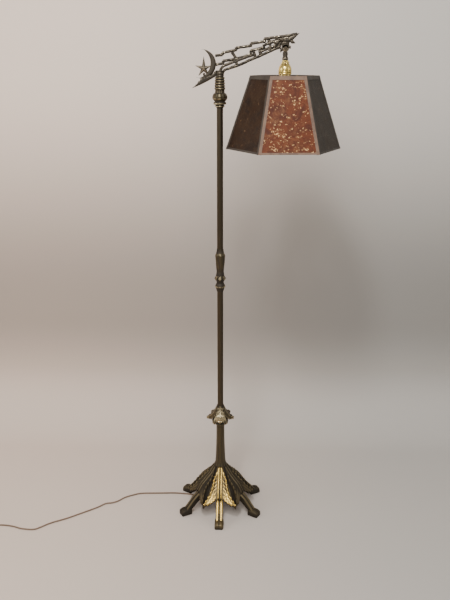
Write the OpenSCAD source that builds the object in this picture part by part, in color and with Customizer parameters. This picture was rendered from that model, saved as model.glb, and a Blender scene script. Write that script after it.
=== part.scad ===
// Cast bridge-arm floor lamp with a six-sided mica shade.
// Origin: stem axis on the floor. +Z up, +X along the arm towards the shade.

/* [Stem] */
// Outer diameter of the two stem tubes
tube_d = 19; // [14:0.5:21]
// Wall of the stem tubes
tube_wall = 1.2; // [0.8:0.1:1.6]
// Height of the lower end of the lower tube
lower_tube_z = 368; // [340:1:400]
// Height of the middle joint's lower end
mid_joint_z = 768; // [660:1:850]
// Height of the middle joint
mid_joint_h = 138; // [110:1:160]
// Height of the top ferrule's lower end
ferrule_z = 1339; // [1150:1:1500]
// Height of the top ferrule
ferrule_h = 89; // [75:1:105]
// Outer diameter of the threaded tie pipe
pipe_d = 10; // [8:0.5:11.5]
// Bore of the tie pipe
pipe_bore_d = 6.4; // [5.6:0.1:6.8]

/* [Base] */
// Number of legs
leg_count = 6; // [3:1:8]
// Distance from the stem axis to the toe of a foot
foot_reach = 150; // [125:1:180]
// Width of a foot block
foot_w = 29; // [22:1:34]
// Height of a foot block
foot_h = 21; // [16:1:25]
// Length of a foot block along the leg
foot_len = 35; // [25:1:42]
// Width of a leg's shaft
leg_w = 22; // [16:1:26]
// Radius of the leaf skirt's rim
skirt_r = 97; // [84:1:104]
// Height of the skirt's rim above the floor
skirt_z = 47; // [40:1:52]
// Height of the joint between base and column
base_top_z = 150; // [138:1:170]
// Wall of the base casting
base_wall = 5; // [4:0.5:7]
// Depth of the dome's flat inner seat below its top
base_seat_drop = 12; // [9:0.5:16]

/* [Column and knop] */
// Height of the joint between column and knop
knop_z = 307; // [280:1:325]
// Diameter of the column below the knop
column_top_d = 26.4; // [24:0.2:30]
// Diameter of the column above its foot flare
column_foot_d = 33; // [30:0.5:37]
// Diameter over the leaf tips of the knop
knop_d = 86; // [72:1:98]

/* [Arm] */
// Distance from the stem axis to the socket axis
arm_reach = 190.5; // [182:0.5:215]
// Depth of the arm casting, front to back
arm_t = 8; // [6:0.5:10]
// Thickness of the twig rails
rail_w = 5.6; // [4.5:0.1:6.5]
// Height of the pivot that the socket hangs from, above the ferrule
pivot_rise = 82; // [77:0.5:86]
// Diameter of the swivel post in the arm's hub
swivel_d = 12; // [11:0.5:13]
// Diameter of the arm's hub
hub_d = 25; // [23:0.5:28]
// Radius of a yoke ear
ear_r = 10.5; // [9.5:0.5:12]
// Thickness of a yoke ear
ear_t = 4; // [3:0.5:5]
// Thickness of the tongue between the ears
tongue_t = 8; // [6:0.5:9]
// Diameter of the knuckle screw
knuckle_d = 5; // [4:0.5:6]

/* [Socket and bulb] */
// Diameter of the socket shell
shell_d = 34.4; // [33.4:0.2:37]
// Overhang of the cap's beaded rim beyond the shell
cap_lip = 2.55; // [2.1:0.05:4.8]
// Height from the cap's neck to its rim
cap_h = 38; // [34:0.5:44]
// Length of the shell below the cap
shell_h = 60; // [56:1:70]
// Inside diameter of the screw shell for a medium screw bulb
screw_shell_d = 26.7; // [26.6:0.05:27]
// Outside diameter of the bulb's screw base
bulb_base_d = 26.3; // [26:0.05:26.4]
// Largest diameter of the bulb
bulb_d = 60; // [45:1:70]
// Length of the bulb's glass
bulb_glass_h = 84; // [70:1:100]
// Reach of the key's paddle from the socket axis
key_reach = 37; // [33:0.5:40]

/* [Shade] */
// Number of panels
panel_count = 6; // [6:1:8]
// Corner radius of the shade at its top
shade_top_r = 102; // [80:1:120]
// Corner radius of the shade at its bottom
shade_bottom_r = 172.5; // [150:0.5:174]
// Height of the shade
shade_h = 213.5; // [170:0.5:250]
// Drop from the pivot to the shade's top edge
shade_drop = 77; // [74:0.5:82]
// Turn of the shade about the socket axis
shade_turn = 3.6; // [0:0.1:60]
// Thickness of a mica panel
mica_t = 1.2; // [0.8:0.1:2]
// Thickness of the binding strips
binding_t = 0.6; // [0.4:0.1:1]
// Width of a corner binding on each panel
corner_binding_w = 8; // [5:0.5:12]
// Width of the top binding
top_binding_w = 11; // [6:0.5:15]
// Width of the bottom binding
bottom_binding_w = 6; // [4:0.5:10]
// Diameter of the frame wires
wire_d = 3; // [2.5:0.1:4]

/* [Cord] */
// Diameter of the supply cord
cord_d = 5; // [4:0.1:5.5]
// Radius to the middle of the stored coil's turns
coil_r = 30; // [27:0.5:33]
// Turns side by side in the coil
coil_lanes = 2; // [2:1:3]
// Turns on top of each other in the coil
coil_layers = 4; // [3:1:4]

/* [Fits] */
// Radial clearance of turning fits
running_gap = 0.05; // [0.02:0.01:0.1]
// Gap between faces that move past each other
face_gap = 0.3; // [0.3:0.05:0.6]
// Radial clearance of pieces that are only slipped together
slip_gap = 0.1; // [0.05:0.01:0.3]

/* [Hidden] */
$fn = 64;

bronze = "#5c5138";
brass = "#c9b878";
steel = "silver";

// Stem
tube_bore_d = tube_d - 2 * tube_wall;
mid_joint_top_z = mid_joint_z + mid_joint_h;
ferrule_top_z = ferrule_z + ferrule_h;
tube_seat = 7;
lower_tube_top_z = mid_joint_z + tube_seat;
upper_tube_z = mid_joint_top_z - tube_seat;
upper_tube_top_z = ferrule_z + tube_seat;
tube_slip_r = tube_d / 2 + slip_gap;
pipe_slip_r = pipe_d / 2 + slip_gap;

// Base
seat_z = base_top_z - base_seat_drop;
nut_h = 7;
washer_t = 2;
washer_z = seat_z - washer_t;
nut_z = washer_z - nut_h;
bushing_h = 26;
pipe_low_z = nut_z - 8;
bushing_z = pipe_low_z + 6 - bushing_h;
bushing_step = 10;
leg_top_r = 86;

// Middle of the pipe, inside the middle joint
coupling_h = 30;
coupling_z = (mid_joint_z + mid_joint_top_z - coupling_h) / 2;
coupling_d = pipe_d + 4;

// Swivel on top of the ferrule
post_flange_d = hub_d - 2;
post_flange_t = 2;
post_sleeve_d = pipe_d + 6;
post_sleeve_h = 27;
hub_z = ferrule_top_z + post_flange_t + face_gap;
hub_h = 17;
hub_clear_r = hub_d / 2 + 5;
hub_top_z = hub_z + hub_h;
swivel_nut_h = 4;
swivel_nut_d = swivel_d + 5;
swivel_nut_z = hub_top_z - swivel_nut_h - 0.5;
post_top_z = hub_top_z - 0.5;
pipe_top_z = ferrule_top_z - 3;
lead_d = cord_d;

// Knuckle and socket heights, measured down from the pivot
pivot_z = ferrule_top_z + pivot_rise;
neck_top = ear_r + 1;
neck_z = pivot_z - 34;
ball_r = 9.2;
ball_z = pivot_z - 30.5;
cap_z = neck_z - cap_h;
cap_neck_d = 20;
cap_d = shell_d + 2 * cap_lip;
shell_top_z = cap_z + 8;
shell_z = cap_z - shell_h + 8;
shell_t = 0.6;
liner_t = 0.8;
liner_r = shell_d / 2 - shell_t - slip_gap;
liner_bore_r = liner_r - liner_t;
core_h = 26;
core_z = shell_top_z - core_h - 2;
screw_shell_h = core_z - shell_z - 2;
screw_shell_t = 0.5;
key_z = cap_z - 16;
key_hole_r = 3;
seat_bead_z = cap_z - 31;
ring_t = 3;
fitter_z = seat_bead_z - face_gap - ring_t;
fitter_bore_r = shell_d / 2 + running_gap;
fitter_ring_r = shell_d / 2 + 4.5;
clamp_ring_h = 7;
clamp_ring_z = fitter_z - face_gap - clamp_ring_h;
bulb_base_h = 22;
bulb_base_z = core_z - 2 - bulb_base_h;

// Shade
shade_top_z = pivot_z - shade_drop;
shade_z = shade_top_z - shade_h;
half_turn = 180 / panel_count;
top_apothem = shade_top_r * cos(half_turn);
bottom_apothem = shade_bottom_r * cos(half_turn);
panel_lean = atan((bottom_apothem - top_apothem) / shade_h);
panel_len = shade_h / cos(panel_lean);
bottom_half_w = shade_bottom_r * sin(half_turn);
top_half_w = shade_top_r * sin(half_turn);
corner_lean = atan((shade_bottom_r - shade_top_r) / shade_h);
corner_len = shade_h / cos(corner_lean);
frame_inset = binding_t + mica_t + wire_d / 2 + 1.5;
frame_top_r = shade_top_r - frame_inset / cos(half_turn);
frame_edge = wire_d;
frame_bottom_r = shade_bottom_r - (frame_inset + frame_edge * tan(panel_lean)) / cos(half_turn);
solder_d = wire_d + 1.2;
fitter_arms = 3;

// Cord
cord_r = cord_d / 2;
cord_rest_z = cord_r + 0.1;
cord_sides = 8;
route_steps = 3;
exit_z = bushing_z;
// Route of the cord from the bushing under the base to the stored coil
cord_route = [
    [0, 0, exit_z], [0, 0, 82], [0, 0, 62], [-5, 3, 38], [-20, 8, 16], [-42, 17, cord_rest_z + 1.7],
    [-70, 28, cord_rest_z], [-100, 38, cord_rest_z], [-127, 43, cord_rest_z],
    [-165, 46, cord_rest_z], [-204, 44, cord_rest_z], [-245, 42, cord_rest_z],
    [-284, 39, cord_rest_z], [-312, 27, cord_rest_z], [-335, 13, cord_rest_z],
    [-355, -8, cord_rest_z], [-374, -19, cord_rest_z], [-395, -24, cord_rest_z],
    [-420, -47, cord_rest_z], [-466, -80, cord_rest_z], [-510, -110, cord_rest_z],
    [-555, -135, cord_rest_z], [-583, -158, cord_rest_z], [-603, -170, cord_rest_z],
    [-642, -167, cord_rest_z], [-668, -158, cord_rest_z], [-694, -152, cord_rest_z],
    [-722, -151, cord_rest_z], [-748, -158, cord_rest_z], [-770, -163, cord_rest_z],
    [-790, -164, cord_rest_z]];
// Where the coil lies: its first turn takes the cord tangentially
coil_x = -800;
coil_y = -131.5;
coil_in_r = coil_r - coil_lanes * cord_d / 2;
coil_out_r = coil_r + coil_lanes * cord_d / 2;
coil_h = coil_layers * cord_d;
coil_floor_z = 0.1;
tie_t = 1;
tie_w = 9;
tie_turn = 200;
// Inner face of the tie, clear of the coil's curve across the tie's width
tie_in_r = coil_in_r - slip_gap - tie_w * tie_w / (8 * coil_in_r);
tie_gap_w = coil_out_r + slip_gap - tie_in_r;
// Plug lying on the floor beside the coil
plug_d = 25;
plug_z = plug_d / 2 + coil_floor_z;
plug_neck_d = 9;
plug_len = 34;
blade_len = 16;
blade_w = 6.4;
blade_t = 1.5;
blade_gap = 12.7;
// Route of the short lead from the coil's last turn to the plug
coil_top_z = coil_floor_z + (coil_layers - 0.5) * cord_d;
plug_x = coil_x - coil_out_r + cord_r;
plug_y = -95;
plug_lead_route = [
    [plug_x, coil_y, coil_top_z], [plug_x, plug_y - 26, coil_top_z - 0.4],
    [plug_x, plug_y - 17, mix(plug_z, coil_top_z, 0.58)],
    [plug_x, plug_y - 9, mix(plug_z, coil_top_z, 0.14)], [plug_x, plug_y - 4, plug_z],
    [plug_x, plug_y - 0.1, plug_z]];

function mix(a, b, t) = a + (b - a) * t;
function curve_point(a, b, c, d, t) =
    0.5 * (2 * b + (c - a) * t + (2 * a - 5 * b + 4 * c - d) * t * t
           + (3 * b - a - 3 * c + d) * t * t * t);
function smooth_route(p, steps) = concat(
    [for (i = [0:len(p) - 2], j = [0:steps - 1])
        curve_point(p[max(i - 1, 0)], p[i], p[i + 1], p[min(i + 2, len(p) - 1)], j / steps)],
    [p[len(p) - 1]]);
function unit(v) = v / norm(v);
function heading(p, i) = unit(p[min(i + 1, len(p) - 1)] - p[max(i - 1, 0)]);
function side_of(h) = abs(h[2]) > 0.9 ? unit(cross(h, [0, 1, 0])) : unit(cross(h, [0, 0, 1]));
function carried(p, i) = i == 0 ? side_of(heading(p, 0))
    : let (before = carried(p, i - 1), h = heading(p, i)) unit(before - h * (before * h));

// A plain round tube swept along a list of points
module sweep(p, r, sides) {
    count = len(p);
    rings = [for (i = [0:count - 1])
        let (h = heading(p, i), u = carried(p, i), v = cross(h, u))
        for (k = [0:sides - 1]) p[i] + r * (cos(360 * k / sides) * u + sin(360 * k / sides) * v)];
    walls = [for (i = [0:count - 2], k = [0:sides - 1])
        [i * sides + k, i * sides + (k + 1) % sides,
         (i + 1) * sides + (k + 1) % sides, (i + 1) * sides + k]];
    ends = [[for (k = [0:sides - 1]) sides - 1 - k], [for (k = [0:sides - 1]) (count - 1) * sides + k]];
    polyhedron(points = rings, faces = concat([for (w = walls) [w[3], w[2], w[1], w[0]]],
        [for (e = ends) [for (k = [len(e) - 1:-1:0]) e[k]]]));
}

// A round rod between two points
module rod(p, q, d) {
    v = q - p;
    translate(p)
        rotate([0, acos(v[2] / norm(v)), atan2(v[1], v[0])])
            cylinder(d = d, h = norm(v), $fn = 24);
}

// A turned solid from [radius, height] points, bored through
module turned(points, bore_r, low, high) {
    difference() {
        rotate_extrude() polygon(points);
        if (bore_r > 0) translate([0, 0, low - 1]) cylinder(r = bore_r, h = high - low + 2);
    }
}

// ---- base ----

module leg() {
    foot_back = foot_reach - foot_len;
    rotate([90, 0, 0]) translate([0, 0, -leg_w / 2]) linear_extrude(leg_w)
        polygon([[leg_top_r - 2, skirt_z + 16], [leg_top_r + 12, skirt_z + 11],
                 [foot_reach - 19, foot_h + 3], [foot_reach - 19, foot_h - 6],
                 [foot_back + 1, foot_h - 6], [foot_back - 4, foot_h + 1],
                 [leg_top_r + 2, skirt_z - 6], [leg_top_r - 6, skirt_z + 2]]);
    rotate([90, 0, 0]) translate([0, 0, -foot_w / 2]) linear_extrude(foot_w)
        polygon([[foot_back, 0], [foot_reach, 0], [foot_reach, foot_h - 5],
                 [foot_reach - 5, foot_h], [foot_back + 3, foot_h], [foot_back, foot_h - 3]]);
}

// Half of a leaf's outline, [distance down the slope, half width]
leaf_half = [[0, 6], [14, 13], [38, 22.5], [52, 26], [70, 27], [84, 32], [98, 42], [106, 48]];
leaf_tip_u = 116;
leaf_t = 8;
leaf_end_w = leg_w + 5;

module leaf() {
    drop = base_top_z - 3 - (skirt_z + 14);
    run = leg_top_r + 12 - 24;
    slope = atan(drop / run);
    stretch = norm([drop, run]) / leaf_tip_u;
    translate([24, 0, base_top_z - 3]) rotate([0, slope, 0]) translate([0, 0, -leaf_t])
        linear_extrude(leaf_t)
            polygon(concat([for (p = leaf_half) [p[0] * stretch, p[1]]],
                           [[leaf_tip_u * stretch, leaf_end_w / 2],
                            [leaf_tip_u * stretch, -leaf_end_w / 2]],
                           [for (i = [len(leaf_half) - 1:-1:0])
                               [leaf_half[i][0] * stretch, -leaf_half[i][1]]]));
}

module base_casting() {
    neck_r = 20;
    color(bronze) difference() {
        union() {
            rotate_extrude() polygon([
                [0, base_top_z], [neck_r, base_top_z], [neck_r + 4, base_top_z - 8],
                [38, base_top_z - 30], [54, base_top_z - 47], [71, base_top_z - 64],
                [skirt_r - 12, skirt_z + 18], [skirt_r, skirt_z], [0, skirt_z]]);
            for (i = [0:leg_count - 1]) rotate([0, 0, i * 360 / leg_count - 90]) {
                leg();
                leaf();
            }
        }
        translate([0, 0, skirt_z - 20]) rotate_extrude() polygon([
            [0, 0], [skirt_r - base_wall - 3, 0], [skirt_r - base_wall - 3, 21],
            [skirt_r - 14 - base_wall, 35], [71 - base_wall, base_top_z - 50 - skirt_z],
            [54 - base_wall, base_top_z - 34 - skirt_z], [38 - base_wall, base_top_z - 16 - skirt_z],
            [neck_r - 2, seat_z + 20 - skirt_z], [0, seat_z + 20 - skirt_z]]);
        translate([0, 0, seat_z - 40]) cylinder(r = pipe_slip_r, h = 100);
    }
}

module base_washer() {
    color(steel) translate([0, 0, washer_z]) difference() {
        cylinder(r = 15, h = washer_t);
        translate([0, 0, -1]) cylinder(r = pipe_slip_r, h = washer_t + 2);
    }
}

module base_nut() {
    color(steel) translate([0, 0, nut_z]) difference() {
        cylinder(d = 20, h = nut_h, $fn = 6);
        translate([0, 0, -1]) cylinder(r = pipe_slip_r, h = nut_h + 2);
    }
}

module cord_bushing() {
    color("#2a2622") translate([0, 0, bushing_z]) difference() {
        rotate_extrude() polygon([[0, 0], [4.2, 0], [6, bushing_step], [8.5, bushing_step + 3],
                                  [8.5, bushing_h], [0, bushing_h]]);
        translate([0, 0, -1]) cylinder(r = cord_r + slip_gap, h = bushing_h + 2);
        translate([0, 0, bushing_h - 6]) cylinder(r = pipe_slip_r, h = 7);
    }
}

// ---- column and tubes ----

module lower_column() {
    foot_r = column_foot_d / 2;
    top_r = column_top_d / 2;
    color(bronze) turned([
        [0, base_top_z], [foot_r + 2.5, base_top_z], [foot_r + 1, base_top_z + 8],
        [foot_r, base_top_z + 16], [mix(foot_r, top_r, 0.25), base_top_z + 45],
        [mix(foot_r, top_r, 0.65), base_top_z + 75], [top_r, base_top_z + 105],
        [top_r, knop_z - 9], [top_r + 1.5, knop_z - 7], [top_r + 1.5, knop_z - 4],
        [top_r, knop_z - 2], [top_r, knop_z], [0, knop_z]], pipe_slip_r, base_top_z, knop_z);
}

module knop() {
    tip_r = knop_d / 2;
    knop_top_z = lower_tube_z + 4;
    neck_r = tube_d / 2 + 2.5;
    color(bronze) difference() {
        rotate_extrude() polygon([
            [0, knop_z], [column_top_d / 2 + 3, knop_z], [tip_r * 0.62, knop_z + 5],
            [tip_r * 0.9, knop_z + 14], [tip_r, knop_z + 21], [tip_r * 0.93, knop_z + 27],
            [tip_r * 0.7, knop_z + 36], [tip_r * 0.52, knop_z + 46], [neck_r + 5.5, knop_z + 53],
            [neck_r + 1.5, knop_z + 55], [neck_r, knop_top_z - 4], [neck_r - 1.2, knop_top_z],
            [0, knop_top_z]]);
        translate([0, 0, knop_z - 1]) cylinder(r = pipe_slip_r, h = 100);
        translate([0, 0, lower_tube_z]) cylinder(r = tube_slip_r, h = 40);
    }
}

module tube(low, high) {
    color(bronze) translate([0, 0, low]) difference() {
        cylinder(d = tube_d, h = high - low);
        translate([0, 0, -1]) cylinder(d = tube_bore_d, h = high - low + 2);
    }
}

module lower_tube() { tube(lower_tube_z + 0.1, lower_tube_top_z - 0.1); }

module upper_tube() { tube(upper_tube_z + 0.1, upper_tube_top_z - 0.1); }

module mid_joint() {
    s = mid_joint_h / 138;
    r = tube_d / 2;
    color(bronze) difference() {
        translate([0, 0, mid_joint_z]) rotate_extrude() polygon([
            [0, 0], [r + 1.2, 0], [r + 2.6, 5 * s], [r + 3.9, 9 * s], [r + 7, 13 * s],
            [r + 7.2, 19 * s], [r + 6, 24 * s], [r + 2, 27 * s], [r + 3, 33 * s],
            [r + 8.5, 42 * s], [r + 8.2, 48 * s], [r + 4, 55 * s], [r + 1.2, 63 * s],
            [r + 2.4, 72 * s], [r + 4, 88 * s], [r + 5, 103 * s], [r + 5.8, 114 * s],
            [r + 5, 120 * s], [r + 2.2, 126 * s], [r + 1.2, 138 * s], [0, 138 * s]]);
        translate([0, 0, mid_joint_z - 1]) cylinder(r = tube_slip_r, h = tube_seat + 1);
        translate([0, 0, upper_tube_z]) cylinder(r = tube_slip_r, h = tube_seat + 1);
        translate([0, 0, mid_joint_z]) cylinder(r = coupling_d / 2 + slip_gap, h = mid_joint_h);
    }
}

module top_ferrule() {
    s = ferrule_h / 89;
    r = tube_d / 2;
    ribs = [for (i = [0:6]) let (z = 56 + i * 4.6, w = mix(14.2, 12.3, i / 6)) [w, z]];
    color(bronze) difference() {
        translate([0, 0, ferrule_z]) rotate_extrude() polygon(concat(
            [[0, 0], [r + 0.8, 0], [r + 2, 3 * s], [r + 3.6, 4.5 * s], [r + 3.2, 7 * s],
             [r + 1.4, 9 * s], [r + 7.8, 11.5 * s], [r + 7.8, 15.5 * s], [r + 5.5, 18 * s],
             [r + 6, 20 * s], [r + 12.4, 27 * s], [r + 12.8, 34 * s], [r + 9.5, 41 * s],
             [r + 5, 44 * s], [r + 4.2, 51 * s]],
            [for (p = ribs) each [[p[0] - 1, (p[1] - 1.8) * s], [p[0] + 0.6, (p[1] - 0.8) * s],
                                  [p[0] + 0.6, (p[1] + 0.8) * s], [p[0] - 1, (p[1] + 1.8) * s]]],
            [[11.6, ferrule_h - 2], [11.6, ferrule_h], [0, ferrule_h]]));
        translate([0, 0, ferrule_z - 1]) cylinder(r = tube_slip_r, h = tube_seat + 1);
        translate([0, 0, ferrule_z]) cylinder(r = pipe_slip_r, h = ferrule_h + 1);
        translate([0, 0, ferrule_top_z - post_sleeve_h - 0.1])
            cylinder(r = post_sleeve_d / 2 + slip_gap, h = post_sleeve_h + 1);
    }
}

module pipe(low, high) {
    color(steel) translate([0, 0, low]) difference() {
        cylinder(d = pipe_d, h = high - low);
        translate([0, 0, -1]) cylinder(d = pipe_bore_d, h = high - low + 2);
    }
}

module lower_tie_pipe() { pipe(pipe_low_z, coupling_z + coupling_h / 2 - 0.2); }

module upper_tie_pipe() { pipe(coupling_z + coupling_h / 2 + 0.2, pipe_top_z); }

module pipe_coupling() {
    color(steel) translate([0, 0, coupling_z]) difference() {
        cylinder(d = coupling_d, h = coupling_h);
        translate([0, 0, -1]) cylinder(r = pipe_slip_r, h = coupling_h + 2);
    }
}

module swivel_post() {
    color(brass) difference() {
        union() {
            translate([0, 0, ferrule_top_z - post_sleeve_h])
                cylinder(d = post_sleeve_d, h = post_sleeve_h);
            translate([0, 0, ferrule_top_z]) cylinder(d = post_flange_d, h = post_flange_t);
            translate([0, 0, ferrule_top_z]) cylinder(d = swivel_d, h = post_top_z - ferrule_top_z);
        }
        translate([0, 0, ferrule_top_z - post_sleeve_h - 1])
            cylinder(r = pipe_slip_r, h = post_sleeve_h + 1 + pipe_top_z - ferrule_top_z + 0.1);
        translate([0, 0, ferrule_top_z - post_sleeve_h]) cylinder(d = pipe_bore_d, h = 60);
    }
}

module swivel_nut() {
    color(brass) translate([0, 0, swivel_nut_z]) difference() {
        cylinder(d = swivel_nut_d, h = swivel_nut_h - 0.5);
        translate([0, 0, -1]) cylinder(r = swivel_d / 2 + slip_gap, h = swivel_nut_h + 2);
    }
}

module stem_lead() {
    color("#3d3226") translate([0, 0, exit_z + slip_gap]) cylinder(d = lead_d, h = post_top_z - exit_z - 1);
}

// ---- arm ----

// A flat bar of the arm casting between two [x, z] points
module bar(p, q, w) {
    v = q - p;
    translate(p) rotate(atan2(v[1], v[0])) translate([0, -w / 2]) square([norm(v), w]);
}

module bars(points, w) {
    for (i = [0:len(points) - 2]) {
        bar(points[i], points[i + 1], w);
        translate(points[i]) circle(d = w * knot_share, $fn = 24);
    }
    translate(points[len(points) - 1]) circle(d = w * knot_share, $fn = 24);
}

arm_rise = ferrule_top_z - 1428;
knot_share = 1.15;
tip_stretch = arm_reach / 190.5;

function on_arm(p) = [p[0] * (p[0] > 0 ? tip_stretch : 1), p[1] + arm_rise];
function all_on_arm(points) = [for (p = points) on_arm(p)];

top_rail = [
    [[-16, 1488], [9, 1491.5]], [[7, 1496.5], [50, 1505.5]], [[47, 1510.5], [94, 1517]],
    [[89, 1522.5], [133, 1528.5]], [[128, 1535.5], [189, 1543.5], [226, 1550]]];
mid_rail = [
    [[-13, 1463], [13, 1468]], [[8, 1473.5], [47, 1480], [91, 1492]],
    [[89, 1502.5], [126, 1511.5]], [[130, 1519], [160, 1528], [205, 1534]]];
upper_strand = [[0, 1440], [3.5, 1451], [12, 1460], [29.5, 1467], [59, 1478], [79, 1485], [97, 1491]];
lower_strand = [[8, 1440], [15, 1448.5], [30, 1454], [59, 1463.5], [88, 1476.5], [123, 1491],
                [160, 1507.5], [176, 1513]];
rail_steps = [[8, 1491, 1496], [48, 1505, 1511], [91, 1517, 1522], [130.5, 1528, 1535],
              [10, 1468, 1473], [90, 1492, 1502], [128, 1511, 1519]];
struts = [[[35, 1499], [46, 1482]], [[46, 1482], [50, 1463]], [[97, 1503], [103, 1487]],
          [[120, 1512], [118, 1491]], [[141, 1534], [146, 1517]], [[146, 1517], [150, 1505]],
          [[165, 1541], [160, 1512]], [[160, 1527], [186, 1518]]];
crescent_c = [-52.5, 1465.5];
crescent_r = 41.5;
star_c = [-47, 1451];
star_r = 28;

module arm_outline() {
    for (s = top_rail) bars(all_on_arm(s), rail_w);
    for (s = mid_rail) bars(all_on_arm(s), rail_w);
    bars(all_on_arm(upper_strand), rail_w * 0.8);
    bars(all_on_arm(lower_strand), rail_w);
    for (s = rail_steps) bar(on_arm([s[0], s[1]]), on_arm([s[0], s[2]]), rail_w);
    for (s = struts) bars(all_on_arm(s), rail_w * 1.2);
    polygon(all_on_arm([[186, 1544], [231, 1552], [211, 1532], [196, 1518], [176, 1512], [168, 1518]]));
    translate(on_arm(crescent_c)) difference() {
        circle(r = crescent_r);
        translate([-19, 3.5]) circle(r = crescent_r + 5.5);
    }
    translate(on_arm(star_c))
        polygon([for (i = [0:9]) let (a = 90 + i * 36, r = i % 2 == 0 ? star_r : star_r * 0.4)
            [r * cos(a), r * sin(a)]]);
    polygon(all_on_arm([[-82, 1396], [-58, 1405.5], [-35, 1417], [-10, 1430], [-10, 1446],
                        [-22, 1437], [-34, 1434], [-44, 1437], [-53, 1432], [-56, 1424],
                        [-64, 1418], [-68, 1409], [-75, 1405]]));
}

module arm_casting() {
    yoke_gap = tongue_t + 2 * face_gap;
    yoke_w = yoke_gap + 2 * ear_t;
    color(bronze) difference() {
        union() {
            rotate([90, 0, 0]) translate([0, 0, -arm_t / 2]) linear_extrude(arm_t) arm_outline();
            translate([0, 0, hub_z]) cylinder(d = hub_d, h = hub_h);
            translate([arm_reach, yoke_w / 2, pivot_z]) rotate([90, 0, 0]) cylinder(r = ear_r, h = yoke_w);
            translate([arm_reach - ear_r, -yoke_w / 2, pivot_z]) cube([2 * ear_r, yoke_w, 18]);
        }
        translate([0, 0, hub_z - 1]) cylinder(r = swivel_d / 2 + running_gap, h = hub_h + 3);
        translate([0, 0, swivel_nut_z - face_gap]) cylinder(r = swivel_nut_d / 2 + face_gap, h = 8);
        translate([arm_reach - 40, -yoke_gap / 2, pivot_z - 40]) cube([80, yoke_gap, 40 + ear_r + 0.5]);
        translate([arm_reach, 20, pivot_z]) rotate([90, 0, 0])
            cylinder(d = knuckle_d + 2 * slip_gap, h = 40);
        cylinder(r = hub_clear_r, h = hub_z);
    }
}

module arm_lead() {
    back = arm_t / 2 + lead_d / 2 + 0.2;
    path = [for (p = all_on_arm([[16, 1450], [30, 1455], [59, 1464.5], [88, 1477.5], [123, 1492],
                                 [160, 1508.5], [172, 1513]])) [p[0], back, p[1]]];
    color("#3d3226") sweep(path, lead_d / 2, cord_sides);
}

module lead_clips() {
    back = arm_t / 2 + 0.1;
    wide = lead_d + 4;
    color(brass) for (x = [44, 105, 150]) {
        z = lookup(x, [[30, 1455], [59, 1464.5], [88, 1477.5], [123, 1492], [160, 1508.5]]);
        translate([x * tip_stretch, back, z + arm_rise]) rotate([0, -23, 0]) difference() {
            translate([-2, 0, -wide / 2]) cube([4, lead_d + 1.6, wide]);
            translate([-3, -1, -lead_d / 2 - 0.5]) cube([6, lead_d + 1.6, lead_d + 1]);
        }
    }
}

module knuckle_screw() {
    half = tongue_t / 2 + face_gap + ear_t;
    color(brass) translate([arm_reach, 0, pivot_z]) rotate([90, 0, 0]) {
        translate([0, 0, -half - 6]) cylinder(d = knuckle_d, h = 2 * half + 6.1);
        translate([0, 0, half + 0.1]) cylinder(d = knuckle_d * 2, h = 3.5);
    }
}

module knuckle_nut() {
    half = tongue_t / 2 + face_gap + ear_t;
    color(brass) translate([arm_reach, half + 0.1, pivot_z]) rotate([-90, 0, 0]) difference() {
        cylinder(d = knuckle_d * 2, h = 4, $fn = 6);
        translate([0, 0, -1]) cylinder(d = knuckle_d + 2 * slip_gap, h = 6);
    }
}

// ---- hanging socket ----

module drop_stem() {
    color(bronze) difference() {
        union() {
            translate([arm_reach, tongue_t / 2, pivot_z]) rotate([90, 0, 0])
                cylinder(r = ear_r - 1.5, h = tongue_t);
            translate([arm_reach - 6, -tongue_t / 2, pivot_z - neck_top - 2])
                cube([12, tongue_t, neck_top + 2]);
            translate([arm_reach, 0, neck_z]) rotate_extrude() polygon([
                [0, -6], [6.5, -6], [6.5, 0], [7, 0.5], [6.5, 10.5], [7.5, 11], [8.2, 22], [6, 22.6],
                [0, 22.6]]);
            translate([arm_reach, 0, neck_z]) intersection() {
                translate([0, 0, ball_z - neck_z]) sphere(r = ball_r);
                cylinder(r = ball_r + 1, h = 12);
            }
        }
        translate([arm_reach, 20, pivot_z]) rotate([90, 0, 0])
            cylinder(r = knuckle_d / 2 + running_gap, h = 40);
        translate([arm_reach, 0, neck_z - 7]) cylinder(d = 6, h = 24);
    }
}

module socket_cap() {
    r = cap_d / 2;
    neck_r = cap_neck_d / 2;
    color(brass) translate([arm_reach, 0, cap_z]) difference() {
        rotate_extrude() polygon([
            [0, -2], [r - 0.6, -2], [r, 0], [r, 2], [r - 0.8, 3.4], [r, 5], [r - 0.2, 7],
            [r - 1, 8], [r - 1.2, 15], [r - 3, 21], [neck_r + 3, 25], [neck_r + 2.5, 30],
            [neck_r, cap_h - 0.4], [0, cap_h - 0.4]]);
        translate([0, 0, cap_h - 10]) cylinder(r = 6.5 + slip_gap, h = 12);
        translate([0, 0, -3]) cylinder(r = shell_d / 2 + slip_gap, h = 11.5);
        translate([0, 0, -3]) cylinder(r = shell_d / 2 - 4, h = 24);
        translate([0, 0, 0]) cylinder(r = 4, h = cap_h);
        translate([0, 0, cap_h - 5]) rotate([0, 90, 0]) cylinder(r = 1.6, h = 20);
    }
}

module cap_set_screw() {
    color(brass) translate([arm_reach + 6.5 + 2 * slip_gap, 0, cap_z + cap_h - 5]) rotate([0, 90, 0])
        cylinder(r = 1.5, h = 6);
}

module socket_shell() {
    r = shell_d / 2;
    color(brass) translate([arm_reach, 0, 0]) difference() {
        union() {
            translate([0, 0, shell_z]) cylinder(r = r, h = shell_top_z - shell_z);
            translate([0, 0, seat_bead_z]) rotate_extrude()
                polygon([[r - 0.3, 0], [r + 1.6, 0], [r + 1.6, 2], [r - 0.3, 4]]);
        }
        translate([0, 0, shell_z - 1]) cylinder(r = r - shell_t, h = shell_top_z - shell_z + 2);
        translate([0, 0, key_z]) rotate([90, 0, 0]) cylinder(r = key_hole_r + face_gap, h = 40);
    }
}

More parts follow.
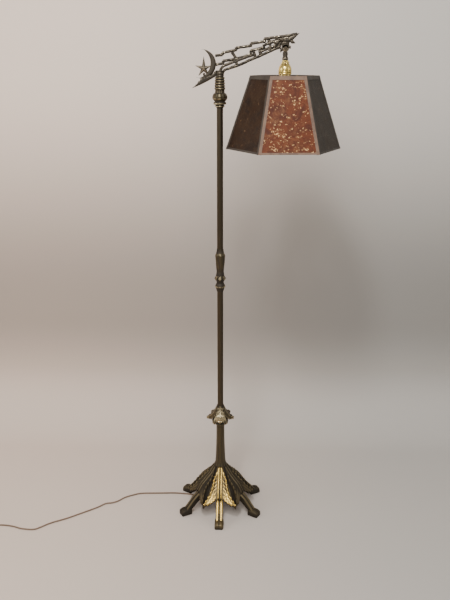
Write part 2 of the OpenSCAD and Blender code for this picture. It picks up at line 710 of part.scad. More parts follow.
module socket_liner() {
    color("#8a6f4a") translate([arm_reach, 0, 0]) difference() {
        translate([0, 0, shell_z + 0.5]) cylinder(r = liner_r, h = shell_top_z - shell_z - 1);
        translate([0, 0, shell_z]) cylinder(r = liner_bore_r, h = shell_top_z - shell_z + 1);
        translate([0, 0, key_z]) rotate([90, 0, 0]) cylinder(r = key_hole_r + face_gap, h = 40);
    }
}

module socket_core() {
    color("#efe9dc") translate([arm_reach, 0, 0]) difference() {
        translate([0, 0, core_z]) cylinder(r = liner_bore_r - slip_gap, h = core_h);
        translate([0, 0, core_z - 1]) cylinder(r = 6, h = 5);
        translate([0, 0, core_z - 1]) cylinder(r = 3, h = core_h + 2);
        translate([0, 0, key_z]) rotate([90, 0, 0]) cylinder(r = key_hole_r + face_gap, h = 40);
    }
}

module screw_shell() {
    color(brass) translate([arm_reach, 0, core_z - screw_shell_h]) difference() {
        cylinder(r = screw_shell_d / 2 + screw_shell_t, h = screw_shell_h);
        translate([0, 0, -1]) cylinder(d = screw_shell_d, h = screw_shell_h + 2);
    }
}

module centre_contact() {
    color(brass) translate([arm_reach, 0, core_z - 1.6]) cylinder(r = 4, h = 4);
}

module shade_clamp_ring() {
    color(brass) translate([arm_reach, 0, clamp_ring_z]) difference() {
        cylinder(r = fitter_ring_r, h = clamp_ring_h);
        translate([0, 0, -1]) cylinder(r = shell_d / 2 + slip_gap, h = clamp_ring_h + 2);
    }
}

module bulb_base() {
    r = bulb_base_d / 2;
    color(brass) translate([arm_reach, 0, bulb_base_z]) rotate_extrude() polygon([
        [0, 0], [r, 0], [r, bulb_base_h - 5], [r - 4, bulb_base_h - 1.5], [4.5, bulb_base_h - 0.1],
        [0, bulb_base_h - 0.1]]);
}

module bulb_glass() {
    r = bulb_d / 2;
    neck_r = bulb_base_d / 2 - 0.2;
    h = bulb_glass_h;
    color("#f4efe2") translate([arm_reach, 0, bulb_base_z]) rotate_extrude() polygon(concat(
        [[0, -0.1], [neck_r, -0.1], [neck_r, -0.11 * h], [neck_r + 1, -0.17 * h],
         [mix(neck_r, r, 0.45), -0.34 * h]],
        [for (i = [0:12]) let (a = 35 - i * 125 / 12) [r * cos(a), -h + r + r * sin(a)]]));
}

module key_shaft() {
    color(brass) translate([arm_reach, -8, key_z]) rotate([90, 0, 0])
        cylinder(r = key_hole_r - 0.5, h = key_reach - 16);
}

module key_paddle() {
    color("#2a2622") translate([arm_reach, -key_reach + 10, key_z]) difference() {
        union() {
            rotate([90, 0, 0]) cylinder(r = 4, h = 4);
            translate([-1.6, -10, -7]) cube([3.2, 8, 14]);
        }
        rotate([90, 0, 0]) translate([0, 0, -1]) cylinder(r = key_hole_r - 0.4, h = 3.2);
    }
}

// ---- shade ----

// Places its children on the shade's axis, turned to one panel
module at_panel(i) {
    translate([arm_reach, 0, shade_z]) rotate([0, 0, shade_turn - 90 + (i - 1) * 2 * half_turn]) children();
}

// A slanted plate on one side of the shade, between two distances up the slope
module side_plate(inset, t, low, high, edge_gap) {
    half_low = mix(bottom_half_w, top_half_w, low / panel_len) - edge_gap - inset * tan(half_turn);
    half_high = mix(bottom_half_w, top_half_w, high / panel_len) - edge_gap - inset * tan(half_turn);
    translate([bottom_apothem, 0, 0]) rotate([0, -panel_lean, 0])
        translate([-inset - t, 0, 0]) rotate([90, 0, 90]) linear_extrude(t)
            polygon([[-half_low, low], [half_low, low], [half_high, high], [-half_high, high]]);
}

module mica_panel(i) {
    color("#8c5238") at_panel(i) side_plate(binding_t + 0.05, mica_t, 1, panel_len - 1, 1.2);
}

module corner_binding(i) {
    spread = acos(sin(half_turn) * cos(panel_lean));
    w = corner_binding_w;
    color("#b9a68c") at_panel(i) rotate([0, 0, half_turn]) translate([shade_bottom_r, 0, 0])
        rotate([0, -corner_lean, 0]) translate([0, 0, 0.3]) linear_extrude(corner_len - 0.6)
            for (side = [-1, 1]) rotate(180 - side * (spread - 0)) translate([0, side > 0 ? 0 : -binding_t])
                square([w, binding_t]);
}

module band(low, high) {
    for (i = [1:panel_count]) at_panel(i) side_plate(-0.05 - binding_t, binding_t, low, high, 0.5);
}

module top_binding() { color("#a8937c") band(panel_len - top_binding_w, panel_len); }

module bottom_binding() { color("#a8937c") band(0, bottom_binding_w); }

function corner(r, i, z) = let (a = shade_turn - 90 + half_turn + i * 2 * half_turn)
    [arm_reach + r * cos(a), r * sin(a), z];

module shade_frame() {
    top_z = shade_top_z - frame_edge;
    low_z = shade_z + frame_edge;
    color("#4a4036") for (i = [0:panel_count - 1]) {
        rod(corner(frame_top_r, i, top_z), corner(frame_top_r, i + 1, top_z), wire_d);
        rod(corner(frame_bottom_r, i, low_z), corner(frame_bottom_r, i + 1, low_z), wire_d);
        rod(corner(frame_bottom_r, i, low_z), corner(frame_top_r, i, top_z), wire_d - 0.4);
        translate(corner(frame_top_r, i, top_z)) sphere(d = solder_d, $fn = 24);
        translate(corner(frame_bottom_r, i, low_z)) sphere(d = solder_d, $fn = 24);
    }
}

module shade_fitter() {
    ring_r = fitter_ring_r;
    color(brass) {
        translate([arm_reach, 0, fitter_z]) difference() {
            cylinder(r = ring_r, h = ring_t);
            translate([0, 0, -1]) cylinder(r = fitter_bore_r, h = ring_t + 2);
        }
        for (i = [0:fitter_arms - 1])
            rod(corner(ring_r - 1.5, i * panel_count / fitter_arms, fitter_z + ring_t / 2),
                corner(frame_top_r - wire_d, i * panel_count / fitter_arms, shade_top_z - frame_edge),
                wire_d);
    }
}

// ---- cord ----

module supply_cord() {
    color("#5a4632") sweep(smooth_route(cord_route, route_steps), cord_r, cord_sides);
}

module cord_coil() {
    bevel = cord_r;
    color("#5a4632") translate([coil_x, coil_y, coil_floor_z]) rotate_extrude() polygon([
        [coil_in_r, bevel], [coil_in_r + bevel, 0], [coil_out_r - bevel, 0], [coil_out_r, bevel],
        [coil_out_r, coil_h - bevel], [coil_out_r - bevel, coil_h], [coil_in_r + bevel, coil_h],
        [coil_in_r, coil_h - bevel]]);
}

module coil_tie() {
    color("#3a332b") translate([coil_x, coil_y, 0]) rotate([0, 0, tie_turn])
        translate([tie_in_r - tie_t, tie_w / 2, 0]) rotate([90, 0, 0]) linear_extrude(tie_w)
            difference() {
                square([tie_gap_w + 2 * tie_t, coil_h + coil_floor_z + slip_gap + tie_t]);
                translate([tie_t, -0.1]) square([tie_gap_w, coil_h + coil_floor_z + slip_gap + 0.1]);
            }
}

module plug_lead() {
    color("#5a4632") sweep(smooth_route(plug_lead_route, 2), cord_r, cord_sides);
}

module on_plug() {
    translate([plug_x, plug_y, plug_z]) rotate([-90, 0, 0]) children();
}

module plug_body() {
    color("#2c211b") on_plug() rotate_extrude() polygon([
        [0, 0], [plug_neck_d / 2, 0], [plug_neck_d / 2 + 1.5, 8], [plug_neck_d / 2 + 3, 15],
        [plug_d / 2, 21], [plug_d / 2, plug_len], [0, plug_len]]);
}

module plug_blades() {
    color(brass) on_plug() for (side = [-1, 1])
        translate([-blade_w / 2, side * blade_gap / 2 - blade_t / 2, plug_len])
            cube([blade_w, blade_t, blade_len]);
}

base_casting();
base_washer();
base_nut();
cord_bushing();
lower_column();
knop();
lower_tube();
mid_joint();
upper_tube();
top_ferrule();
lower_tie_pipe();
upper_tie_pipe();
pipe_coupling();
swivel_post();
swivel_nut();
stem_lead();
arm_casting();
arm_lead();
lead_clips();
knuckle_screw();
knuckle_nut();
drop_stem();
socket_cap();
cap_set_screw();
socket_shell();
socket_liner();
socket_core();
screw_shell();
centre_contact();
shade_clamp_ring();
bulb_base();
bulb_glass();
key_shaft();
key_paddle();
shade_fitter();
shade_frame();
for (i = [1:panel_count]) {
    mica_panel(i);
    corner_binding(i);
}
top_binding();
bottom_binding();
supply_cord();
cord_coil();
coil_tie();
plug_lead();
plug_body();
plug_blades();
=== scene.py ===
"""Cast bridge-arm floor lamp with a six-sided mica shade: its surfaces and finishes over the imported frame."""
import math

import bmesh
import bpy
import numpy as np
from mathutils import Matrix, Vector, noise


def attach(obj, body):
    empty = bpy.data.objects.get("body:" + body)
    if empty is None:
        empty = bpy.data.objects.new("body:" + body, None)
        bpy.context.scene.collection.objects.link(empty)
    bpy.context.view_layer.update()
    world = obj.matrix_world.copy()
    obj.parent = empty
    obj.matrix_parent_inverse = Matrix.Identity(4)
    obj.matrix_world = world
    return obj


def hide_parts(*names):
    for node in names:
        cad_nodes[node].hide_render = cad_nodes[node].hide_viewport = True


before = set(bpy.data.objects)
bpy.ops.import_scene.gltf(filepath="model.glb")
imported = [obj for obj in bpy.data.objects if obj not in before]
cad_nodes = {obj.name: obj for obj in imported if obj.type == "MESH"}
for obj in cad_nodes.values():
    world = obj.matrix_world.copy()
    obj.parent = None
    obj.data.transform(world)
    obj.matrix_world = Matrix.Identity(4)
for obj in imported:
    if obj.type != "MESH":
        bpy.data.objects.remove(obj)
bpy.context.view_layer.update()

# Camera: a long lens at eye height in front of the lamp, tipped down so that it takes in everything from the
# arm's tip to the feet. A small lens shift centres the lamp in height.
camera = bpy.data.objects.new("camera", bpy.data.cameras.new("camera"))
camera.data.sensor_width = 36
camera.data.lens = 42.49
camera.data.shift_y = -0.0822
camera.location = (0.0847, -2.1384, 1.474)
tipped_down, turned_left = 15, 1.86
camera.rotation_euler = (math.radians(90 - tipped_down), 0, math.radians(turned_left))
bpy.context.scene.collection.objects.link(camera)
bpy.context.scene.camera = camera

# Backdrop: one seamless sheet of pale paper, flat under the lamp and curved up into a wall half a metre
# behind it. The sheet is clear when seen from behind, so that the lamp's back shows.
floor_front, floor_back, cove_radius, wall_height, half_width = -7.0, 0.34, 0.24, 5.0, 6.0


def put(tree, kind, sockets=None, **settings):
    """Adds a node. Each socket is given a number, a colour, or another node's output."""
    made = tree.nodes.new(kind)
    for key, value in settings.items():
        setattr(made, key, value)
    for key, value in (sockets or {}).items():
        if isinstance(value, bpy.types.NodeSocket):
            tree.links.new(value, made.inputs[key])
        else:
            made.inputs[key].default_value = value
    return made


def blank_material(name, colour, roughness, **sockets):
    """A material with only its Principled shader, and its node tree."""
    made = bpy.data.materials.new(name)
    made.use_nodes = True
    tree = made.node_tree
    tree.nodes.clear()
    shader = put(tree, "ShaderNodeBsdfPrincipled", {"Base Color": (*colour, 1), "Roughness": roughness})
    for key, value in sockets.items():
        shader.inputs[key.replace("_", " ")].default_value = value
    put(tree, "ShaderNodeOutputMaterial", {"Surface": shader.outputs[0]})
    return made, tree, shader


def drive(shader, **sources):
    """Lets other nodes set the shader's sockets."""
    for key, source in sources.items():
        shader.id_data.links.new(source, shader.inputs[key.replace("_", " ")])


def object_coordinates(tree):
    return put(tree, "ShaderNodeTexCoord").outputs["Object"]


def full_turn(count):
    """Evenly spaced angles round a circle."""
    return np.linspace(0, 2 * math.pi, count, endpoint=False)


def fade(tree, value, start, end, low=0.0, high=1.0):
    """A smooth step from low to high as the value goes from start to end."""
    sockets = {"Value": value, "From Min": start, "From Max": end, "To Min": low, "To Max": high}
    return put(tree, "ShaderNodeMapRange", sockets, interpolation_type="SMOOTHSTEP").outputs["Result"]


def blend_colours(tree, share, first, second):
    sockets = {0: share, 6: first if isinstance(first, bpy.types.NodeSocket) else (*first, 1),
               7: second if isinstance(second, bpy.types.NodeSocket) else (*second, 1)}
    return put(tree, "ShaderNodeMix", sockets, data_type="RGBA").outputs[2]


def arithmetic(tree, operation, first, second=0.0, third=0.0):
    return put(tree, "ShaderNodeMath", {0: first, 1: second, 2: third}, operation=operation).outputs[0]


paper, tree, shader = blank_material("paper", (0.60, 0.565, 0.52), 0.85)
output = shader.outputs[0].links[0].to_node
where = put(tree, "ShaderNodeSeparateXYZ", {0: object_coordinates(tree)}).outputs
# The paper's colour carries painted light: it is brighter and warmer towards the left, with a painted dark band
# across the wall, darkest about half a metre up.
tone_with_painted_light = blend_colours(tree, fade(tree, where[0], -0.95, 0.80), (0.86, 0.70, 0.585), (0.585, 0.545, 0.495))
painted_light_below_band = fade(tree, where[2], 0.10, 0.46, 0.86, 0.50)
painted_light_above_band = fade(tree, where[2], 0.56, 1.45, 0.50, 1.06)
level = arithmetic(tree, "MAXIMUM", painted_light_below_band, painted_light_above_band)
tone_with_painted_light = put(tree, "ShaderNodeVectorMath", {0: tone_with_painted_light, "Scale": level}, operation="SCALE").outputs[0]
drive(shader, Base_Color=tone_with_painted_light)
clear = put(tree, "ShaderNodeBsdfTransparent")
behind = put(tree, "ShaderNodeNewGeometry").outputs["Backfacing"]
sheet = put(tree, "ShaderNodeMixShader", {0: behind, 1: shader.outputs[0], 2: clear.outputs[0]})
tree.links.new(sheet.outputs[0], output.inputs["Surface"])

profile = [(floor_front, 0), (floor_back, 0)]
profile += [(floor_back + cove_radius * math.sin(a), cove_radius * (1 - math.cos(a)))
            for a in np.linspace(0, math.pi / 2, 13)[1:]]
profile += [(floor_back + cove_radius, wall_height)]
mesh = bpy.data.meshes.new("backdrop")
mesh.from_pydata([(x, y, z) for y, z in profile for x in (-half_width, half_width)], [],
                 [(2 * i, 2 * i + 1, 2 * i + 3, 2 * i + 2) for i in range(len(profile) - 1)])
mesh.shade_smooth()
mesh.materials.append(paper)
backdrop = bpy.data.objects.new("backdrop", mesh)
bpy.context.scene.collection.objects.link(backdrop)

# Studio light: a ceiling lamp that throws the soft shadow on the wall, a big soft box above the camera, two
# weak side panels and one light behind, in a grey room.
lamps = {"ceiling_lamp": ((-0.22, -1.3, 2.84), 0.35, 30), "soft_box": ((-0.15, -2.4, 2.5), 1.7, 50),
         "left_panel": ((-2.6, -0.9, 1.7), 1.6, 18), "right_panel": ((2.6, -0.9, 1.9), 1.6, 8),
         "back_light": ((0.6, 2.6, 2.6), 1.4, 30)}
for name, (place, size, power) in lamps.items():
    light = bpy.data.lights.new(name, "AREA")
    light.shape, light.size, light.energy = "DISK", size, power
    holder = bpy.data.objects.new(name, light)
    holder.location = place
    holder.rotation_euler = (Vector((0.05, 0, 0.75)) - Vector(place)).to_track_quat("-Z", "Y").to_euler()
    bpy.context.scene.collection.objects.link(holder)
world = bpy.data.worlds.new("room")
world.use_nodes = True
world.node_tree.nodes["Background"].inputs["Color"].default_value = (0.80, 0.79, 0.77, 1)
world.node_tree.nodes["Background"].inputs["Strength"].default_value = 0.55
bpy.context.scene.world = world

# Supply cord: 5 mm two-core flex in a brown braided cotton cover. It leaves the bushing under the base, lies
# loose on the floor to the left, and the spare length is wound into a tied coil beside its plug.
cord_d = 5.0
cord_exit = (0, 0, 101)
cord_rest = cord_d / 2 + 0.1
floor_route = [
    (-70, 28), (-100, 38), (-127, 43), (-165, 46), (-204, 44), (-245, 42), (-284, 39), (-312, 27), (-335, 13),
    (-355, -8), (-374, -19), (-395, -24), (-420, -47), (-466, -80), (-510, -110), (-555, -135),
    (-583, -158), (-603, -170), (-642, -167), (-668, -158), (-694, -152), (-722, -151), (-748, -158),
    (-770, -163), (-790, -164)]
drop_route = [cord_exit, (0, 0, 82), (0, 0, 62), (-5, 3, 38), (-20, 8, 16), (-42, 17, cord_rest + 1.7)]
coil_centre = (-800, -131.5)
coil_lanes = (32.5, 27.5, 27.5, 32.5, 32.5, 27.5, 27.5, 32.5)
coil_turns = 7.25
lane_change = 0.16
plug_route = [(-832.5, -121, 17.2), (-832.5, -112, 15.5), (-832.5, -104, 13.3), (-832.5, -99, 12.6),
              (-832.5, -95, 12.6)]


def coil_point(turns):
    """A point of the coil after that many turns, which run clockwise from above."""
    turn = min(int(turns), len(coil_lanes) - 1)
    part = max(0.0, (turns - turn - 1 + lane_change) / lane_change)
    part = part * part * (3 - 2 * part)
    following = min(turn + 1, len(coil_lanes) - 1)
    radius = coil_lanes[turn] + (coil_lanes[following] - coil_lanes[turn]) * part
    level = (turn // 2) + ((following // 2) - (turn // 2)) * part
    angle = -math.pi / 2 - 2 * math.pi * turns
    return (coil_centre[0] + radius * math.cos(angle), coil_centre[1] + radius * math.sin(angle),
            cord_rest + cord_d * level)


def smooth_route(points, steps):
    """A Catmull-Rom curve through the points."""
    p = np.array(points, float)
    made = []
    for i in range(len(p) - 1):
        a, b, c, d = p[max(i - 1, 0)], p[i], p[i + 1], p[min(i + 2, len(p) - 1)]
        for t in np.arange(steps) / steps:
            made.append(0.5 * (2 * b + (c - a) * t + (2 * a - 5 * b + 4 * c - d) * t ** 2
                               + (3 * b - a - 3 * c + d) * t ** 3))
    return np.array(made + [p[-1]])


def along(points):
    """The distance from the first point to each point."""
    steps = np.linalg.norm(np.diff(points, axis=0), axis=1)
    return np.concatenate([[0], np.cumsum(steps)])


def headings(points):
    """The direction of a path at each of its points."""
    heading = np.gradient(points, axis=0)
    return heading / np.linalg.norm(heading, axis=1)[:, None]


def across(points):
    """At each point of a path, two directions square to it, carried along without twisting."""
    heading = headings(points)
    first = np.cross(heading[0], (0, 1, 0))
    sides = []
    for h in heading:
        first = first - h * (first @ h)
        first /= np.linalg.norm(first)
        sides.append(first)
    sides = np.array(sides)
    return sides, np.cross(heading, sides)


def skin(rings, relief=0.5, looped=False):
    """A closed shell over rings of points: capped at both ends, or joined end to end when looped."""
    count, sides = rings.shape[:2]
    points = list(rings.reshape(-1, 3))
    values = list(np.broadcast_to(relief, (count, sides)).ravel())
    faces = [(i * sides + k, i * sides + (k + 1) % sides,
              (i + 1) % count * sides + (k + 1) % sides, (i + 1) % count * sides + k)
             for i in range(count if looped else count - 1) for k in range(sides)]
    if not looped:
        for end in (0, count - 1):
            points.append(rings[end].mean(axis=0))
            values.append(float(np.mean(values[end * sides:(end + 1) * sides])))
            faces += [(end * sides + k, end * sides + (k + 1) % sides, len(points) - 1) for k in range(sides)]
    return np.array(points), faces, np.array(values)


def piece_from(name, shells, material, sharp=40):
    """One object from closed shells in millimetres, with how proud each point stands kept as relief."""
    points, faces, relief = [], [], []
    for shell_points, shell_faces, shell_relief in shells:
        start = len(points)
        points.extend(shell_points)
        faces.extend(tuple(start + i for i in face) for face in shell_faces)
        relief.extend(shell_relief)
    mesh = bpy.data.meshes.new(name)
    mesh.from_pydata(np.array(points) * 0.001, [], faces)
    mesh.attributes.new("relief", "FLOAT", "POINT").data.foreach_set("value", np.array(relief, np.float32))
    edit = bmesh.new()
    edit.from_mesh(mesh)
    bmesh.ops.recalc_face_normals(edit, faces=edit.faces)
    edit.to_mesh(mesh)
    edit.free()
    mesh.shade_smooth()
    mesh.set_sharp_from_angle(angle=math.radians(sharp))
    mesh.materials.append(material)
    made = bpy.data.objects.new(name, mesh)
    bpy.context.scene.collection.objects.link(made)
    return made


def cloudy(tree, place, scale, detail, **more):
    """Soft random patches, from 0 to 1."""
    sockets = {"Vector": place, "Scale": scale, "Detail": detail, **more}
    return put(tree, "ShaderNodeTexNoise", sockets).outputs[0]


def bumped(tree, height, strength, distance):
    """The normal of a surface that rises and falls with the height."""
    sockets = {"Height": height, "Strength": strength, "Distance": distance}
    return put(tree, "ShaderNodeBump", sockets).outputs[0]


cord_cover, tree, shader = blank_material("cord_cover", (0.16, 0.10, 0.06), 0.8, Sheen_Weight=0.35)
uv = put(tree, "ShaderNodeUVMap", uv_map="braid").outputs[0]
around, lengthwise = put(tree, "ShaderNodeSeparateXYZ", {0: uv}).outputs[:2]
strand_count, turns_per_metre = 6, 190
strands = []
for hand in (1, -1):
    lean = arithmetic(tree, "MULTIPLY_ADD", lengthwise, 2 * math.pi * turns_per_metre * hand,
                      arithmetic(tree, "MULTIPLY", around, 2 * math.pi * strand_count))
    strands.append(arithmetic(tree, "SINE", lean))
thread = arithmetic(tree, "MAXIMUM", *strands)
lint = cloudy(tree, object_coordinates(tree), 900, 3)
lifted = arithmetic(tree, "MULTIPLY_ADD", lint, 0.5, fade(tree, thread, -0.2, 1.0))
drive(shader, Base_Color=blend_colours(tree, lifted, (0.060, 0.033, 0.020), (0.235, 0.150, 0.092)),
      Normal=bumped(tree, lifted, 0.6, 0.0004))

cord_path = np.concatenate([
    smooth_route(drop_route + [(x, y, cord_rest) for x, y in floor_route], 4)[:-1],
    smooth_route([(-790, -164, cord_rest)]
                 + [coil_point(t) for t in np.arange(0, coil_turns + 0.001, 1 / 32)] + plug_route, 2)])
u, v = across(cord_path)
cord_sides = 14
turn = full_turn(cord_sides)[None, :, None]
cord_rings = cord_path[:, None] + cord_d / 2 * (np.cos(turn) * u[:, None] + np.sin(turn) * v[:, None])
supply_cord = piece_from("braided_cord", [skin(cord_rings)], cord_cover)
distance = along(cord_path) * 0.001
layer = supply_cord.data.uv_layers.new(name="braid")
for face in supply_cord.data.polygons:
    sides = [i % cord_sides if i < len(cord_rings) * cord_sides else 0 for i in face.vertices]
    for loop, index, side in zip(face.loop_indices, face.vertices, sides):
        share = side / cord_sides + (side == 0 and max(sides) == cord_sides - 1)
        layer.data[loop].uv = (share, distance[min(index // cord_sides, len(distance) - 1)])
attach(supply_cord, "stand")
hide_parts("supply_cord", "cord_coil", "plug_lead")

# Plug and tie: a round moulded two-pin plug with grip ribs and folded brass blades, and the dark cotton tie
# that holds the coil.
phenolic, tree, shader = blank_material("dark_phenolic", (0.03, 0.016, 0.010), 0.3)
cloud = cloudy(tree, object_coordinates(tree), 60, 6, Distortion=1.2)
drive(shader, Base_Color=blend_colours(tree, fade(tree, cloud, 0.35, 0.7), (0.016, 0.009, 0.007),
                                       (0.062, 0.030, 0.017)),
      Roughness=fade(tree, cloud, 0.3, 0.7, 0.24, 0.40))

cotton, tree, shader = blank_material("tie_cord", (0.05, 0.035, 0.025), 0.9, Sheen_Weight=0.4)
weave = put(tree, "ShaderNodeTexWave", {"Vector": object_coordinates(tree), "Scale": 260, "Distortion": 2.0,
                                        "Detail": 2}).outputs[1]
drive(shader, Base_Color=blend_colours(tree, weave, (0.022, 0.016, 0.012), (0.085, 0.060, 0.042)),
      Normal=bumped(tree, weave, 0.5, 0.0004))

plug_x, plug_y, plug_z = plug_route[-1]
plug_length, grip_start, grip_end, grip_depth, grip_ribs = 34, 21.5, 32, 0.45, 24
plug_shape = [(0.0, 4.3), (0.8, 4.5), (4, 5.0), (8, 6.0), (13, 7.2), (17, 9.6), (20, 11.8), (22, 12.3),
              (31, 12.3), (33, 12.1), (34, 11.2)]


def read_off(line, value):
    """The second number of a line of points where the first has the given value."""
    return np.interp(value, *zip(*line))


def wave(phase):
    """A smooth wave between 0 and 1."""
    return 0.5 + 0.5 * np.cos(phase)


reach = np.linspace(0, plug_length, 70)
turn = full_turn(72)
grip = (reach > grip_start) & (reach < grip_end)
radius = read_off(plug_shape, reach)[:, None] - grip_depth * grip[:, None] * wave(grip_ribs * turn)[None]
plug_rings = np.stack([plug_x + radius * np.cos(turn), plug_y + reach[:, None] + 0 * radius,
                       plug_z + radius * np.sin(turn)], axis=-1)
plug = piece_from("moulded_plug", [skin(plug_rings)], phenolic)
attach(plug, "stand")
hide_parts("plug_body")


def dress(material, slot, *names):
    """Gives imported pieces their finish."""
    for name in names:
        cad_nodes[name].data.materials.clear()
        cad_nodes[name].data.materials.append(material)


dress(cotton, "tie_cord", "coil_tie")

# Aged metal: the finish that every metal piece shares. Low places keep a dark brown patina and dust, broad
# faces are brown bronze, and proud edges are rubbed to bright brass. Where a piece's relief is raised
# further, as on the front of the base and of the knop, the bright brass is a painted highlight.
aged = bpy.data.node_groups.new("aged_metal", "ShaderNodeTree")


def group_sockets(tree, way, **kinds):
    """Declares a node group's sockets by kind, and gives their identifiers by name."""
    return {name: tree.interface.new_socket(name, in_out=way, socket_type="NodeSocket" + kind).identifier
            for kind, names in kinds.items() for name in names}


group_sockets(aged, "INPUT", Color=("Recess", "Body", "Rubbed And Highlit"),
              Float=("Relief", "Patch Scale", "Grain Scale", "Rubbing", "Dullness"))
group_sockets(aged, "OUTPUT", Color=["Colour"], Float=("Roughness", "Metallic", "Height"))
given = put(aged, "NodeGroupInput").outputs
place = object_coordinates(aged)
patches = cloudy(aged, place, given["Patch Scale"], 5, Roughness=0.6, Distortion=0.6)
grain = cloudy(aged, place, given["Grain Scale"], 4, Roughness=0.7)
height = arithmetic(aged, "MULTIPLY_ADD", patches, 0.42, arithmetic(aged, "ADD", given["Relief"], -0.21))
height = arithmetic(aged, "MULTIPLY_ADD", grain, 0.20, arithmetic(aged, "ADD", height, -0.10))
clean = fade(aged, height, 0.14, 0.46)
rubbed_and_highlit = arithmetic(aged, "MULTIPLY", fade(aged, height, 0.58, 0.88), given["Rubbing"])
colour = blend_colours(aged, clean, given["Recess"], given["Body"])
colour = blend_colours(aged, rubbed_and_highlit, colour, given["Rubbed And Highlit"])
rough = arithmetic(aged, "MULTIPLY_ADD", clean, -0.22, 0.62)
rough = arithmetic(aged, "MULTIPLY_ADD", rubbed_and_highlit, -0.18, rough)
rough = arithmetic(aged, "MULTIPLY_ADD", grain, 0.16, arithmetic(aged, "ADD", rough, -0.08))
rough = arithmetic(aged, "MULTIPLY", rough, given["Dullness"])
metal = arithmetic(aged, "MULTIPLY_ADD", clean, 0.45, 0.5)
put(aged, "NodeGroupOutput", {"Colour": colour, "Roughness": rough, "Metallic": metal, "Height": grain})


def aged_metal(name, recess, body, rubbed_and_highlit_colour, relief=None, patch=14, grain_scale=420, rubbing=1.0,
               dullness=1.0, bite=0.00025):
    """A metal finish. Pieces with modelled relief read it; plain turned pieces take one even value."""
    made, tree, shader = blank_material(name, body, 0.4)
    if relief is None:
        relief = put(tree, "ShaderNodeAttribute", attribute_name="relief").outputs["Fac"]
    finish = put(tree, "ShaderNodeGroup", node_tree=aged)
    for key, value in (("Recess", (*recess, 1)), ("Body", (*body, 1)), ("Rubbed And Highlit", (*rubbed_and_highlit_colour, 1)),
                       ("Relief", relief), ("Patch Scale", patch), ("Grain Scale", grain_scale),
                       ("Rubbing", rubbing), ("Dullness", dullness)):
        if isinstance(value, bpy.types.NodeSocket):
            tree.links.new(value, finish.inputs[key])
        else:
            finish.inputs[key].default_value = value
    drive(shader, Base_Color=finish.outputs["Colour"], Roughness=finish.outputs["Roughness"],
          Metallic=finish.outputs["Metallic"], Normal=bumped(tree, finish.outputs["Height"], 0.5, bite))
    return made


cast_bronze = aged_metal("cast_bronze", (0.026, 0.019, 0.013), (0.094, 0.075, 0.044), (0.54, 0.44, 0.26),
                         rubbing=0.85)
arm_bronze = aged_metal("arm_bronze", (0.024, 0.019, 0.014), (0.078, 0.064, 0.046), (0.42, 0.35, 0.25),
                        rubbing=0.8)
base_bronze = aged_metal("base_bronze", (0.026, 0.019, 0.011), (0.150, 0.114, 0.060), (0.70, 0.465, 0.125),
                         dullness=1.2)
stem_bronze = aged_metal("stem_bronze", (0.035, 0.024, 0.018), (0.072, 0.056, 0.036), (0.26, 0.19, 0.11),
                         relief=0.44, patch=22, grain_scale=700, bite=0.00012)
polished_brass = aged_metal("polished_brass", (0.20, 0.13, 0.045), (0.74, 0.55, 0.24), (0.92, 0.76, 0.42),
                            relief=0.62, patch=30, grain_scale=900, dullness=0.55, bite=0.00006)
bright_steel = aged_metal("plain_steel", (0.10, 0.075, 0.055), (0.36, 0.35, 0.33), (0.60, 0.60, 0.58),
                          relief=0.5, patch=60, grain_scale=800, bite=0.0001)

# Hidden fixings: the threaded tie pipes, their coupling, the washer and nut that clamp the base, the lead
# inside the pipe, and the turned bushing that guards the cord where it leaves.
dress(bright_steel, "plain_steel", "base_washer", "base_nut", "lower_tie_pipe", "upper_tie_pipe",
      "pipe_coupling")
dress(phenolic, "dark_phenolic", "cord_bushing")
dress(polished_brass, "polished_brass", "plug_blades")

# Base: one hollow bronze casting. Six acanthus leaves with beaded edges lie over a darker ribbed dome, and
# each leaf runs out into a leg with two rounded ridges and a square foot.
leg_count = 6
sector = 2 * math.pi / leg_count
dome_steps, ring_steps = 84, 72 * leg_count
leaf_end = 87.0
bead_pitch, vein_pitch, flute_pitch = 11, 8.2, 5.2
web_line = [(20, 150), (24, 141), (38, 118.5), (54, 101), (71, 84), (85, 63), (97, 42), (104, 38.5),
            (116, 38)]
inner_line = [(18, 137.8), (34, 117), (50, 98), (66, 81), (80, 59), (90, 41.5), (97, 36), (116, 35)]
leaf_line = [(20, 151), (24, 147.5), (38, 129), (54, 113.5), (71, 98), (80, 85), (87, 73), (93, 61),
             (98, 51.5), (104, 49.5)]
leaf_width = [(20, 4), (24, 7), (33, 15), (47, 24), (60, 26.5), (68, 29), (78, 34.5), (86, 43), (93, 52),
              (98, 59)]


def smooth_step(value, start, end):
    t = np.clip((value - start) / (end - start), 0, 1)
    return t * t * (3 - 2 * t)


def bulge(value, middle, width):
    """1 at the middle, falling smoothly to 0 on both sides."""
    return np.exp(-((value - middle) / width) ** 2)


